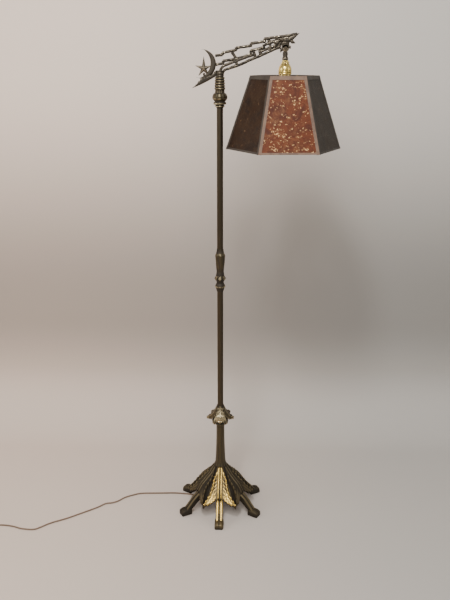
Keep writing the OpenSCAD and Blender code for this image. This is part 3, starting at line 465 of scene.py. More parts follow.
def base_surface():
    """The outer surface of the casting and how proud it stands, over a polar grid."""
    turn = full_turn(ring_steps)[None]
    lean = (turn + math.pi / 2 + sector / 2) % sector - sector / 2
    part = np.linspace(0, 1, dome_steps)[:, None]
    edge = (leaf_end + 10 * smooth_step(np.abs(lean), 0.10, 0.42)) / np.cos(lean) + 0.9 * np.cos(lean * 66)
    reach = 20 + (edge - 20) * part
    x, y = reach * np.cos(lean), np.abs(reach * np.sin(lean))
    half = np.minimum(read_off(leaf_width, x), x * math.tan(sector / 2) - 0.2)
    bead_phase = 2 * math.pi * (x + 0.55 * y) / bead_pitch
    inside = half - 1.5 * wave(bead_phase) - y
    leaf = smooth_step(inside, -0.9, 1.6)
    beads = bulge(inside, 3.4, 2.9) * (0.5 - 0.5 * np.cos(bead_phase)) ** 0.8 * smooth_step(x, 30, 42)
    channel = bulge(inside, 7.4, 1.5) * smooth_step(x, 34, 44)
    ridge, groove = bulge(y, 5.2, 2.4), bulge(y, 0, 1.6)
    veins = wave(2 * math.pi * (x - 0.75 * y) / vein_pitch)
    veins = veins * smooth_step(y, 8, 13) * smooth_step(inside, 4, 8)
    flute = wave(2 * math.pi * (inside - 6.5) / flute_pitch)
    flute *= smooth_step(x, 70, 84) * smooth_step(y, 12, 17) * smooth_step(inside, 3.5, 6)
    hollow = smooth_step(inside, 3, 9) * smooth_step(y, 5, 9) * (1 - smooth_step(y, 16, 30))
    ribs = wave(lean * 90)
    web = read_off(web_line, reach)
    web = web + 1.1 * ribs * smooth_step(reach, 30, 45) * (1 - smooth_step(reach, 98, 106))
    crown = read_off(leaf_line, x) - 0.16 * y * (1 - smooth_step(x, 82, 96))
    crown += (2.0 * ridge - 2.4 * groove + 4.0 * beads + 0.9 * veins + 1.2 * flute - 1.8 * hollow
              - 1.6 * channel)
    height = web + (crown - web) * leaf
    proud = 0.10 + 0.16 * ribs
    on_leaf = 0.38 + 0.36 * ridge - 0.42 * groove + 0.66 * beads + 0.20 * veins + 0.30 * flute - 0.14 * hollow
    on_leaf += 0.06 * bulge(inside, 1.2, 1.0) - 0.32 * channel
    return turn, reach, height, np.clip(proud + (on_leaf - proud) * leaf, 0.02, 1)


turn, reach, height, proud = base_surface()
pipe_bore, hollow_top, rim, wall, least_wall = 5.3, 18.0, 3.4, 1.6, 1.5
part = np.linspace(0, 1, dome_steps)[:, None]
inner_reach = hollow_top + (reach[-1:] - wall - hollow_top) * part
inner_height = np.minimum(read_off(inner_line, inner_reach), height - least_wall)
inner_height += (height[-1:] - rim - inner_height[-1:]) * part ** 5
loop_reach, loop_height = (
    np.concatenate([np.full((1, ring_steps), first), outer, inner[::-6],
                    *(np.full((1, ring_steps), value) for value in last)])
    for first, outer, inner, last in ((pipe_bore, reach, inner_reach, (hollow_top, pipe_bore)),
                                      (149.9, height, inner_height, (138.1, 138.1))))
loop_proud = np.concatenate([proud[:1], proud, np.full((len(loop_reach) - dome_steps - 1, ring_steps), 0.05)])
dome_rings = np.stack([loop_reach * np.cos(turn), loop_reach * np.sin(turn), loop_height], axis=-1)
dome = skin(dome_rings, loop_proud, looped=True)

leg_line = [(80, 69, 42), (86, 66, 41), (92, 62, 37), (100, 55.5, 31), (108, 47, 23.5), (116, 38, 17),
            (123, 30, 13), (129, 23, 10), (133, 18, 9)]
shaft_half = [(11, -6), (10.6, -3), (9, -0.8), (6.6, 0), (4.2, -0.5), (2, -2.6)]
foot_half = [(14.5, 2), (14.5, 8), (14.2, 14), (12.5, 18.6), (8, 20.6), (3.5, 21)]


def mirrored(half, middle):
    """The points of a left half, a middle one, and the right half."""
    return [(-w, z) for w, z in half] + [(0, middle)] + half[::-1]


def leg_shells():
    """The shaft and the square foot of one leg, along +X."""
    line = smooth_route(leg_line, 5)
    shaft = np.array([[(x, w, top + d) for w, d in mirrored(shaft_half, -3.6)]
                      + [(x - 3, w, low + 1.5 * (abs(w) > 8)) for w in (10.4, 8, 4, 0, -4, -8, -10.4)]
                      for x, top, low in line])
    ridge_values = [0.35, 0.5, 0.78, 0.97, 0.72, 0.3]
    shells = [skin(shaft, np.array(ridge_values + [0.1] + ridge_values[::-1] + [0.12] * 7))]
    stations = [(114.6, 0.80), (115.2, 0.93), (117, 1.0), (124, 1.0), (131, 1.0), (139, 1.0), (146, 0.98),
                (149, 0.92), (150, 0.80)]
    section = mirrored(foot_half, 19.8) + [(13, 0.1), (5, 0.1), (-5, 0.1), (-13, 0.1)]
    foot_height, foot_slope, rest = 21, 3.5, 0.1
    foot = []
    for x, swell in stations:
        crown = foot_height - foot_slope * smooth_step(x, 136, 150)
        foot.append([(x, w * swell, rest + z / foot_height * crown * (swell if z > 3 else 1))
                     for w, z in section])
    edge_values = [0.2, 0.25, 0.3, 0.42, 0.38, 0.42]
    shells.append(skin(np.array(foot), np.array(edge_values + [0.15] + edge_values[::-1] + [0.1] * 4)))
    return shells


# Rings of like parts: the tree copies one part round the Z axis, makes the copies real and gives them their
# finish. It sets the legs here, and later the leaves, petals and beads of the stem.
ring_tree = bpy.data.node_groups.new("ring_of_parts", "GeometryNodeTree")
group_sockets(ring_tree, "OUTPUT", Geometry=["Geometry"])
ring_inputs = group_sockets(ring_tree, "INPUT", Object=["Part"], Int=["Count"], Float=["Start Turn"],
                            Material=["Finish"])
given = put(ring_tree, "NodeGroupInput").outputs
spots = put(ring_tree, "GeometryNodePoints", {"Count": given["Count"]})
index = put(ring_tree, "GeometryNodeInputIndex").outputs[0]
step = arithmetic(ring_tree, "DIVIDE", 2 * math.pi, given["Count"])
spin = arithmetic(ring_tree, "MULTIPLY_ADD", index, step, given["Start Turn"])
spin = put(ring_tree, "ShaderNodeCombineXYZ", {"Z": spin})
part_info = put(ring_tree, "GeometryNodeObjectInfo", {"Object": given["Part"]})
copies = put(ring_tree, "GeometryNodeInstanceOnPoints", {
    "Points": spots.outputs[0], "Instance": part_info.outputs["Geometry"], "Rotation": spin.outputs[0]})
real = put(ring_tree, "GeometryNodeRealizeInstances", {"Geometry": copies.outputs[0]})
finished = put(ring_tree, "GeometryNodeSetMaterial", {
    "Geometry": real.outputs[0], "Material": given["Finish"]})
put(ring_tree, "NodeGroupOutput", {"Geometry": finished.outputs[0]})


def ring_of(shells, count, start, material):
    """A plain mesh of the part repeated round the Z axis."""
    part = piece_from("part", shells, material, 60)
    holder = bpy.data.objects.new("ring", bpy.data.meshes.new("ring"))
    bpy.context.scene.collection.objects.link(holder)
    modifier = holder.modifiers.new("ring", "NODES")
    modifier.node_group = ring_tree
    for key, value in (("Part", part), ("Count", count), ("Start Turn", start), ("Finish", material)):
        modifier[ring_inputs[key]] = value
    mesh = bpy.data.meshes.new_from_object(holder.evaluated_get(bpy.context.evaluated_depsgraph_get()))
    for spare in (holder, part):
        bpy.data.objects.remove(spare)
    return mesh


def add_mesh(piece, extra, shift=(0, 0, 0)):
    """Joins a finished mesh into a piece, moved by a shift in metres."""
    for vertex in extra.vertices:
        vertex.co += Vector(shift)
    edit = bmesh.new()
    edit.from_mesh(piece.data)
    edit.from_mesh(extra)
    edit.to_mesh(piece.data)
    edit.free()
    bpy.data.meshes.remove(extra)


base = piece_from("leaf_base", [dome], base_bronze, 60)
add_mesh(base, ring_of(leg_shells(), leg_count, -math.pi / 2, base_bronze))


def relief_of(piece):
    """How proud each point of a piece stands, how far round from the front it is, and where it is."""
    proud = np.zeros(len(piece.data.vertices), np.float32)
    piece.data.attributes["relief"].data.foreach_get("value", proud)
    places = np.array([vertex.co for vertex in piece.data.vertices])
    return proud, np.abs(np.arctan2(places[:, 0], -places[:, 1])), places


# The front leaf and its leg are painted bright down to the foot, a painted highlight where the light in front
# falls on them. The rest of the base is painted darker, a painted shade on the sides turned away from it.
foot_start, front_painted_highlight, painted_shade_elsewhere = 0.116, 0.32, 0.56
proud, from_front, places = relief_of(base)
leaf = np.clip((proud - 0.12) / 0.25, 0, 1) * (np.hypot(places[:, 0], places[:, 1]) < foot_start)
proud = np.where(from_front < sector / 2, proud + front_painted_highlight * leaf, proud * painted_shade_elsewhere)
base.data.attributes["relief"].data.foreach_set("value", proud.astype(np.float32))
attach(base, "stand")
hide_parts("base_casting")

# Column: a tapered bronze casting between base and knop, lightly fluted, with a spread foot that sits on the
# dome and a thin collar under the knop. It slides over the tie pipe.


def turned_shell(outline, bore, shape=None, pitch=0.8, steps=120, soften=0.8):
    """A bored turning from (radius, height) points, rounded as a casting is. shape(turn, height, radius)
    gives the relief cut into it, in millimetres, and how proud each point stands."""
    line = np.array(outline, float)
    run = along(line)
    count = max(int(run[-1] / pitch), 8)
    spots = np.linspace(0, run[-1], count)
    radius, height = np.interp(spots, run, line[:, 0]), np.interp(spots, run, line[:, 1])
    reach = max(int(soften / pitch * 2), 1)
    kernel = np.hanning(2 * reach + 3)[1:-1]
    kernel /= kernel.sum()
    radius = np.convolve(np.pad(radius, reach, mode="edge"), kernel, "valid")
    turn = full_turn(steps)[None]
    cut, proud = shape(turn, height[:, None], radius[:, None]) if shape else (0, 0.5)
    reach = np.broadcast_to(radius[:, None] + cut, (count, steps))
    tall = np.broadcast_to(height[:, None], (count, steps))
    inside = np.ones((2, steps))
    reach = np.concatenate([reach, inside * bore])
    tall = np.concatenate([tall, tall[-1:], tall[:1]])
    proud = np.concatenate([np.broadcast_to(proud, (count, steps)), inside * 0.1])
    rings = np.stack([reach * np.cos(turn), reach * np.sin(turn), tall], axis=-1)
    return skin(rings, proud, looped=True)


def column_relief(turn, height, radius):
    flute = wave(8 * turn)
    reach = smooth_step(height, 160, 172) * (1 - smooth_step(height, 288, 296))
    foot = 1 - smooth_step(height, 153, 166)
    leaves = np.abs(np.sin(6 * turn)) * foot
    collar = (height > 299) * (height < 304)
    return (-0.9 * (1 - flute) * reach + 1.2 * leaves * foot,
            0.30 + 0.18 * flute * reach + 0.30 * leaves - 0.15 * foot + 0.25 * collar)


column_line = [(20.5, 150), (20, 153), (18.4, 158), (17, 166), (16, 180), (15.4, 196), (14.3, 226), (13.5, 256),
               (13.3, 294), (13.5, 297.5), (15.4, 299.5), (15.6, 303), (13.8, 305), (13.2, 307)]
column = piece_from("fluted_column", [turned_shell(column_line, pipe_bore, column_relief)], cast_bronze, 60)
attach(column, "stand")
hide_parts("lower_column")

# Knop: a cast cluster of acanthus leaves on a bell-shaped core. Five broad leaves open from the collar and
# curl out at their tips, over five short ones that hang between them.
leaf_steps, leaf_columns, knop_leaves = 34, 23, 5


def spaced(line, share):
    """Points at the given shares of a path's length, and how far along it they are."""
    run = along(line)
    spots = share * run[-1]
    return np.stack([np.interp(spots, run, line[:, axis]) for axis in range(3)], axis=1), spots


def leaf_shell(midline, widths, thickness, curl=0.25, teeth=5, bite=0.16, rib=1.2, veins=0.5):
    """A closed leaf along a midline of (reach, height) points, with a rib, veins and a toothed edge."""
    share = np.linspace(0, 1, leaf_steps)
    line, _ = spaced(smooth_route([(r, 0, z) for r, z in midline], 8), share)
    proud_way = np.cross(headings(line), (0, 1, 0))
    if proud_way[leaf_steps // 2, 0] + proud_way[leaf_steps // 2, 2] < 0:
        proud_way = -proud_way
    half = np.interp(share, np.linspace(0, 1, len(widths)), widths)
    half = half * (1 - bite * wave(2 * math.pi * teeth * share))
    side = np.linspace(-1, 1, leaf_columns)[None]
    lift = rib * bulge(side, 0, 0.14) - curl * half[:, None] * side ** 2
    vein = wave(2 * math.pi * (share[:, None] * teeth - 0.5 * np.abs(side)))
    lift = lift + veins * vein * (np.abs(side) > 0.1)
    spread = np.stack([0 * side, side, 0 * side], axis=-1) * half[:, None, None]
    upper, lower = (line[:, None] + proud_way[:, None] * level[..., None] + spread
                    for level in (lift, lift - thickness))
    rings = np.concatenate([upper, lower[:, ::-1]], axis=1)
    upper = 0.42 + 0.40 * bulge(side, 0, 0.16) + 0.16 * (vein - 0.4) + 0.30 * np.abs(side) ** 6
    upper = upper + 0.25 * smooth_step(share[:, None], 0.7, 1.0)
    proud = np.concatenate([upper, np.full_like(upper, 0.18)], axis=1)
    return skin(rings, np.clip(proud, 0.02, 1))


def knop_relief(turn, height, radius):
    lobes = wave(knop_leaves * (turn + math.pi / 2))
    return -3.0 * (1 - lobes) * smooth_step(radius, 16, 26), 0.12 + 0.25 * lobes


knop_line = [(13.4, 307), (15, 308.5), (19, 313), (25, 322), (30, 330), (30, 336), (25, 344), (20, 352),
             (16.5, 358), (14, 361), (13.4, 364), (13.6, 366), (12.4, 368), (11.6, 371), (10.9, 372)]
tube_socket = 9.7
knop = piece_from("leaf_knop", [turned_shell(knop_line, tube_socket, knop_relief)], cast_bronze, 60)
broad_leaf = leaf_shell([(12.5, 366), (15.5, 359), (21, 349), (29, 339.5), (38, 334.5), (44.5, 333.5),
                         (46.2, 331), (44.5, 327.5)], (7, 9.5, 12.5, 15.5, 17, 15.5, 10, 3), 2.4,
                        curl=0.16, rib=1.6, veins=0.8)
short_leaf = leaf_shell([(17, 350), (23, 341), (29, 332), (33.5, 324), (35, 318), (33, 313.5), (30, 312)],
                        (5, 8, 10.5, 11.5, 10, 7, 2), 2.2, curl=0.18, teeth=4, rib=1.2, veins=0.6)
for leaf, start in ((broad_leaf, -math.pi / 2), (short_leaf, -math.pi / 2 + math.pi / knop_leaves)):
    add_mesh(knop, ring_of([leaf], knop_leaves, start, cast_bronze))
# The leaves that face the room are painted brighter above their tips: a painted highlight where the light
# in front falls on them.
front_painted_highlight, tips_z = 0.30, 0.322
proud, from_front, places = relief_of(knop)
proud += front_painted_highlight * smooth_step(-from_front, -0.75, -0.25) * (proud > 0.2) * (places[:, 2] > tips_z)
knop.data.attributes["relief"].data.foreach_set("value", proud.astype(np.float32))
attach(knop, "stand")
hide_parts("knop")

# Stem: two drawn brass tubes with a dark brown finish, held on the tie pipe between the castings.
dress(stem_bronze, "stem_bronze", "lower_tube", "upper_tube")

# Middle joint: a cast sleeve that hides where the tubes meet. A leafed bulb narrows to a waist, opens in a
# ring of petals, and ends on a beaded ring.


def joint_relief(turn, height, radius):
    crown = smooth_step(height, 838, 852) * (1 - smooth_step(height, 890, 896))
    leaves = np.abs(np.cos(2.5 * (turn + 0.5 * (height - 870) / 40))) ** 0.6
    waist = smooth_step(height, 826, 834) * (1 - smooth_step(height, 846, 856))
    flutes = wave(10 * turn)
    rings = bulge(height, 784, 3.0)
    tips = bulge(height, 887, 4.0) * leaves
    return (1.5 * (leaves - 0.75) * crown - 0.5 * (1 - flutes) * waist + 0.8 * tips,
            0.21 + 0.22 * leaves * crown + 0.15 * flutes * waist + 0.22 * rings + 0.22 * tips)


joint_line = [(10.6, 768), (11, 770), (12, 773), (13.2, 777), (14.2, 780), (15.6, 782.5), (15.6, 786), (14, 790.5),
              (11.4, 795), (11.8, 801), (14, 808), (13.6, 817), (12.6, 824), (11.2, 832), (12, 841), (13.5, 856),
              (14.4, 870), (15.2, 882), (14.8, 887), (12.4, 893), (11, 900), (10.5, 906)]
joint = piece_from("middle_joint", [turned_shell(joint_line, tube_socket, joint_relief)], cast_bronze, 60)
petal = leaf_shell([(11.2, 828), (12.5, 821), (14.5, 815.5), (17.2, 811.5), (18.3, 809), (17.6, 806.5)],
                   (3.6, 4.6, 5.4, 5.0, 3.6, 1.2), 1.4, curl=0.12, teeth=2, rib=0.5, veins=0.2)
petal_count, bead_count = 7, 18
add_mesh(joint, ring_of([petal], petal_count, -math.pi / 2, cast_bronze))


def bead_shell(reach, height, size):
    """A small bead at a reach from the Z axis."""
    up = np.linspace(-math.pi / 2 + 0.35, math.pi / 2 - 0.35, 5)
    turn = full_turn(8)
    rings = np.stack([reach + size * np.cos(up)[:, None] * np.cos(turn),
                      size * np.cos(up)[:, None] * np.sin(turn),
                      height + size * np.sin(up)[:, None] + 0 * turn], axis=-1)
    return skin(rings, 0.72)


add_mesh(joint, ring_of([bead_shell(15.2, 784.2, 2.0)], bead_count, 0.0, cast_bronze))
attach(joint, "stand")
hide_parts("mid_joint")

# Top ferrule: the casting that carries the arm. Two rings, a cup of leaves and a fluted neck rise to five
# stacked bands that narrow towards the swivel. The lead comes out behind it.
band_count, band_pitch, lowest_band = 5, 7.4, 1395.5


def ferrule_relief(turn, height, radius):
    cup = smooth_step(height, 1358, 1364) * (1 - smooth_step(height, 1378, 1383))
    leaves = np.abs(np.cos(4 * turn)) ** 0.7
    neck = smooth_step(height, 1382, 1385) * (1 - smooth_step(height, 1392, 1394))
    flutes = wave(12 * turn)
    bands = (height > 1391) * wave(2 * math.pi * (height - lowest_band) / band_pitch) ** 2
    bands = bands + (np.abs(height - 1352.5) < 2.0) + (np.abs(height - 1344) < 1.5)
    return (1.4 * (leaves - 0.8) * cup - 0.9 * (1 - flutes) * neck,
            0.20 + 0.30 * leaves * cup + 0.3 * flutes * neck + 0.55 * np.clip(bands, 0, 1)
            + 0.3 * cup * bulge(height, 1366, 2.5))


ferrule_line = [(10.4, 1339), (11.5, 1342), (14.8, 1343.5), (14.4, 1346), (11.5, 1348), (19.2, 1350.3),
                (19.2, 1354.7), (16, 1357), (16.4, 1359), (22, 1366), (22.2, 1373), (19, 1380), (14.6, 1383),
                (13.8, 1390)]
for i in range(band_count):
    width, middle = 15.9 - 0.40 * i, lowest_band + band_pitch * i
    ferrule_line += [(width + out, middle + up) for out, up in
                     ((-1.8, -3.2), (-0.1, -2.0), (0.7, 0), (-0.1, 2.0), (-1.8, 3.2))]
ferrule_line += [(11.5, 1428)]
ferrule = piece_from("top_ferrule_casting",
                     [turned_shell(ferrule_line, tube_socket - 1.6, ferrule_relief, pitch=0.5, soften=0.4)],
                     cast_bronze, 60)
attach(ferrule, "stand")
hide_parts("top_ferrule")
dress(stem_bronze, "polished_brass", "swivel_post")
lead_cover, tree, shader = blank_material("lead_cover", (0.045, 0.030, 0.020), 0.75)
ply = put(tree, "ShaderNodeTexWave", {"Vector": object_coordinates(tree), "Scale": 300, "Distortion": 1.0,
                                      "Detail": 2}, bands_direction="DIAGONAL").outputs[1]
drive(shader, Base_Color=blend_colours(tree, ply, (0.025, 0.017, 0.012), (0.075, 0.050, 0.034)))
dress(lead_cover, "cord_cover", "stem_lead", "arm_lead")

# Arm: one open casting of twigs that swivels on the ferrule. Stepped rails run up to a leaf point over the
# socket, and at the back are a crescent, a star and a toothed frond.
arm_half = 4.0
rails = [[(-14, 1488.5), (9, 1491.5)], [(7, 1496.5), (50, 1505.5)], [(47, 1510.5), (94, 1517)],
         [(89, 1522.5), (133, 1528.5)], [(128, 1535.5), (189, 1543.5), (224, 1549.5)],
         [(-12, 1463.3), (13, 1468)], [(8, 1473.5), (47, 1480), (91, 1492)], [(89, 1502.5), (126, 1511.5)],
         [(130, 1519), (160, 1528), (205, 1534)],
         [(0, 1440), (3.5, 1451), (12, 1460), (29.5, 1467), (59, 1478), (79, 1485), (97, 1491)],
         [(8, 1440), (15, 1448.5), (30, 1454), (59, 1463.5), (88, 1476.5), (123, 1491), (160, 1507.5), (176, 1513)]]
steps_up = [(8, 1489, 1498), (48, 1503, 1513), (91, 1515, 1524), (130.5, 1526, 1537), (10, 1466, 1475),
            (90, 1490, 1504), (128, 1509, 1521)]
branches = [[(35, 1499), (41, 1491), (46, 1482)], [(46, 1482), (48, 1472), (50, 1463)], [(97, 1503), (103, 1487)],
            [(120, 1512), (118, 1491)], [(141, 1534), (146, 1517)], [(146, 1517), (150, 1505)],
            [(165, 1541), (160, 1512)], [(160, 1527), (178, 1521)],
            [(112, 1498), (146, 1511), (176, 1521)], [(143, 1527), (172, 1531), (200, 1539)]]


def twig_shell(points, width, depth=arm_half, seed=0.0):
    """A bark-ridged twig in the plane of the arm, oval in section, with a swelling at its ends."""
    line = np.array([(x, 0, z) for x, z in points], float)
    line = smooth_route(line, 6) if len(points) > 2 else line
    length = along(line)[-1]
    line, spots = spaced(line, np.linspace(0, 1, max(int(length / 1.1), 6)))
    up = np.cross((0, 1, 0), headings(line))
    turn = full_turn(16)
    swell = 1 + 0.16 * bulge(spots, 0, 3.2) + 0.16 * bulge(spots, length, 3.2)
    ends = np.minimum(spots, length - spots)
    swell *= np.sqrt(np.clip(1 - np.clip(1 - ends / 2.2, 0, 1) ** 2 * 0.9, 0.08, 1))
    bark = np.array([[noise.noise((s * 0.10, 2.2 * math.cos(a) + seed, 2.2 * math.sin(a))) for a in turn]
                     for s in spots])
    knobs = np.array([[noise.noise((s * 0.33 + seed, math.cos(a), math.sin(a))) for a in turn]
                      for s in spots])
    shape = (1 + 0.20 * bark + 0.10 * knobs) * swell[:, None]
    rings = (line[:, None] + up[:, None] * (width / 2 * np.sin(turn) * shape)[..., None]
             + np.array([0, 1, 0]) * (depth * np.cos(turn) * shape)[..., None])
    return skin(rings, np.clip(0.34 + 0.80 * bark + 0.50 * knobs, 0.03, 1))


def blade_shell(stations, ridge=arm_half, groove=0.0):
    """A flat leaf or horn in the arm's plane from (x, z) edge pairs, with a raised ridge on each face."""
    section = [(0, 0.0), (0.06, 0.42), (0.28, 0.70), (0.5, 1.0 - groove), (0.72, 0.70), (0.94, 0.42)]
    rings = [[(x0 + (x1 - x0) * s, y, z0 + (z1 - z0) * s)
              for s, y in ([(share, -ridge * part * out) for share, out in section]
                           + [(1 - share, ridge * part * out) for share, out in section])]
             for (x0, z0), (x1, z1), part in stations]
    return skin(np.array(rings), np.array([0.8, 0.55, 0.35, 0.85 - 0.6 * (groove > 0), 0.35, 0.55] * 2))


arm_shells = [twig_shell(points, 8.2, seed=3.1 * i) for i, points in enumerate(rails)]
arm_shells += [twig_shell([(x, low), (x, high)], 8.0, 4.2, seed=7.0 + i)
               for i, (x, low, high) in enumerate(steps_up)]
arm_shells += [twig_shell(points, 8.6, 3.6, seed=11.0 + i) for i, points in enumerate(branches)]

crescent_centre, crescent_r = np.array([-52.5, 1465.5]), 41.5
bite_centre, bite_r = np.array([-71.5, 1469.0]), 44.4
offset = crescent_centre - bite_centre
stations = []
for angle in np.linspace(math.radians(-114), math.radians(92), 60):
    way = np.array([math.cos(angle), math.sin(angle)])
    inner_reach = -(offset @ way) + math.sqrt(max((offset @ way) ** 2 - offset @ offset + bite_r ** 2, 0))
    inner_reach = min(inner_reach, crescent_r - 0.6)
    stations.append((crescent_centre + crescent_r * way, crescent_centre + inner_reach * way,
                     min(1.0, 0.22 + (crescent_r - inner_reach) / 11)))
arm_shells.append(blade_shell(stations, 4.0, groove=0.25))

star_x, star_z, star_r = -47.0, 1453.0, 27.0
star_points, star_values, star_faces = [(star_x, -5.0, star_z), (star_x, 4.0, star_z)], [0.95, 0.5], []
for i in range(10):
    angle, reach = math.radians(90 + 36 * i), star_r * (0.32 if i % 2 else 1.28 if i == 0 else 1)
    star_points += [(star_x + reach * math.cos(angle), y, star_z + reach * math.sin(angle))
                    for y in (-0.9, 0.9)]
    star_values += [0.2 if i % 2 else 0.6] * 2
    front, following = 2 + 2 * i, 2 + 2 * ((i + 1) % 10)
    star_faces += [(0, front, following), (1, following + 1, front + 1),
                   (front, front + 1, following + 1, following)]
arm_shells.append((np.array(star_points), star_faces, np.array(star_values)))
arm_shells.append(twig_shell([(-47, 1440), (-44, 1430), (-36, 1424)], 6.0, 3.0, seed=2.2))

frond_low = smooth_route([(-82, 1396), (-58, 1405.5), (-35, 1417), (-12, 1430)], 10)
frond_high = smooth_route([(-81.5, 1397), (-70, 1408), (-57, 1425), (-44, 1435), (-27, 1437), (-12, 1446)], 6)
frond_teeth = 9
stations = []
for share in np.linspace(0, 1, 46):
    low, high = (np.array([np.interp(share, np.linspace(0, 1, len(edge)), edge[:, axis]) for axis in (0, 1)])
                 for edge in (frond_low, frond_high))
    toothed = 0.72 + 0.36 * (share * frond_teeth % 1.0) if 0.05 < share < 0.9 else 1
    stations.append((low + (high - low) * toothed, low, 0.35 + 0.65 * min(1, share * 4)))
arm_shells.append(blade_shell(stations, 3.6, groove=0.2))

tip_low = smooth_route([(168, 1519), (179, 1521.5), (197, 1522.5), (212, 1533), (231, 1552)], 8)
tip_high = smooth_route([(170, 1523), (184, 1535), (200, 1542), (216, 1548), (231.3, 1552.4)], 8)
stations = [(high, low, min(1.0, 0.15 + np.linalg.norm(high - low) / 12))
            for high, low in zip(tip_high, tip_low)]
arm_shells.append(blade_shell(stations, 4.6, groove=0.3))
# Small leaves lie on both cheeks of the yoke, clear of the slot that the drop stem swings in.
for base_x, base_z, angle, length in ((178, 1516, 205, 21), (183, 1513, 245, 17), (199, 1516, -50, 10),
                                      (188, 1530, 160, 22), (204, 1530, -25, 16), (172, 1524, 175, 16),
                                      (190, 1527, 215, 17), (196, 1525, 190, 15)):
    way = np.array([math.cos(math.radians(angle)), math.sin(math.radians(angle))])
    side = np.array([-way[1], way[0]])
    start = np.array([base_x, base_z])
    stations = [(start + way * length * s + side * w, start + way * length * s - side * w, 0.35 + w / 6)
                for s, w in zip(np.linspace(0, 1, 11), (1, 2.4, 3.6, 4.4, 4.7, 4.4, 3.8, 3.0, 2.0, 1.1, 0.3))]
    points, faces, values = blade_shell(stations, 2.3, groove=0.35)
    arm_shells += [(points + np.array([0, side_y, 0]), faces, values) for side_y in (-6.8, 6.8)]

hub_line = [(12.3, 1430.4), (12.6, 1432), (11.6, 1434), (12.6, 1436.5), (12.6, 1440), (11.6, 1442.5),
            (12.5, 1444.5), (12.2, 1447.2)]
arm_shells.append(turned_shell(hub_line, 8.9, pitch=0.5, soften=0.5, steps=64))
arm_shells.append(turned_shell([(9.2, 1430.5), (9.2, 1442.0)], 6.1, pitch=1.0, steps=48))
pivot_x, pivot_z, ear_gap, ear_wall, ear_reach, yoke_z = 190.5, 1510.0, 4.3, 4.0, 10.5, 1521.2


def disc_shell(radius, stations, relief):
    """A disc on the pivot's axis, from (y, share of the radius) stations."""
    rings = [[(pivot_x + radius * swell * math.cos(a), y, pivot_z + radius * swell * math.sin(a))
              for a in full_turn(40)] for y, swell in stations]
    return skin(np.array(rings), relief)


for side in (-1, 1):
    arm_shells.append(disc_shell(ear_reach, [(side * (ear_gap + ear_wall * part), swell) for part, swell in
                                             ((0, 0.93), (0.12, 1.0), (0.8, 1.0), (1.0, 0.88))],
                                 np.array([0.3, 0.4, 0.7, 0.85])[:, None]))
    rings = [[(pivot_x + x, side * (ear_gap + d), z) for d, z in
              ((0, pivot_z), (ear_wall * swell, pivot_z), (ear_wall * swell, 1525), (0, 1527))]
             for x, swell in ((-10.5, 0.8), (-9.5, 1.0), (9.5, 1.0), (10.5, 0.8))]
    arm_shells.append(skin(np.array(rings), 0.35))
rings = [[(pivot_x + x, y * s, yoke_z + up * s) for y, up in
          ((-8.2, 0), (8.2, 0), (8.2, 4.8), (5, 8.3), (-5, 8.3), (-8.2, 4.8))]
         for x, s in ((-10.5, 0.85), (-9.3, 1.0), (9.3, 1.0), (10.5, 0.85))]
arm_shells.append(skin(np.array(rings), 0.4))
arm = piece_from("twig_arm", arm_shells, arm_bronze, 50)
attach(arm, "arm")
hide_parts("arm_casting")
dress(stem_bronze, "polished_brass", "swivel_nut", "lead_clips", "knuckle_screw", "knuckle_nut")

# Drop stem: the cast link that hangs on the knuckle screw between the arm's ears, ringed like bamboo, with a
# ball where it screws into the socket cap.
stem_line = [(6.4, 1470.2), (6.4, 1475.8), (8.4, 1476.2), (9.2, 1479.0), (8.8, 1482.2), (7.2, 1485.4),
             (6.0, 1486.6), (7.6, 1488.2), (6.2, 1489.8), (6.4, 1491), (8.0, 1492.6), (6.6, 1494.2), (6.6, 1495.6),
             (7.8, 1497), (6.4, 1498.6)]


def link_relief(turn, height, radius):
    return 0.35 * np.cos(6 * turn) * (height > 1487), 0.28 + 0.12 * (radius - 6) + 0.04 * np.cos(6 * turn)


def under_pivot(shell):
    """Moves a turning from the stem's axis to the socket's."""
    points, faces, values = shell
    return points + np.array([pivot_x, 0, 0]), faces, values


tongue_r = 9.0
neck_outline = [(-5.8, -3), (-5, -4), (5, -4), (5.8, -3), (5.8, 3), (5, 4), (-5, 4), (-5.8, 3)]
rings = [[(pivot_x + x * s, y * s, z) for x, y in neck_outline]
         for z, s in ((1497.5, 1.0), (1503, 0.94), (1509, 0.9))]
link_shells = [under_pivot(turned_shell(stem_line, 3.0, link_relief, pitch=0.4, soften=0.4, steps=64)),
               disc_shell(tongue_r, ((-4, 0.92), (-3.4, 1.0), (3.4, 1.0), (4, 0.92)), 0.45),
               skin(np.array(rings), 0.4)]
link = piece_from("drop_link", link_shells, arm_bronze, 50)
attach(link, "socket")
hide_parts("drop_stem")

# Socket cap: spun brass, polished and lacquered. Six slots part the straps of its neck, the bell spreads over
# the shell, and its rim is rolled into a bead with a row of pips above it.
cap_line = [(17.35, 1447.4), (17.35, 1436.6), (18.8, 1436.0), (19.6, 1437.2), (19.7, 1439.0), (18.7, 1440.8),
            (18.6, 1441.6), (19.5, 1443), (19.5, 1444.6), (18.6, 1446), (18.7, 1450), (18.4, 1454), (17.2, 1458),
            (15.0, 1461.6), (12.6, 1464.4), (10.8, 1467.4), (9.7, 1471), (8.9, 1475.4)]


def cap_relief(turn, height, radius):
    straps = smooth_step(np.cos(6 * turn), -0.55, -0.1)
    slots = smooth_step(height, 1460.5, 1462.5) * (1 - smooth_step(height, 1473, 1474.5)) * (radius < 17)
    inner = (radius < 17.5) * (height < 1448)
    seams = bulge(height, 1441.2, 0.7) + bulge(height, 1446.2, 0.8)
    return (-1.7 * (1 - straps) * slots,
            np.clip(0.68 - 0.62 * (1 - straps) * slots - 0.5 * seams - 0.3 * inner, 0.02, 1))


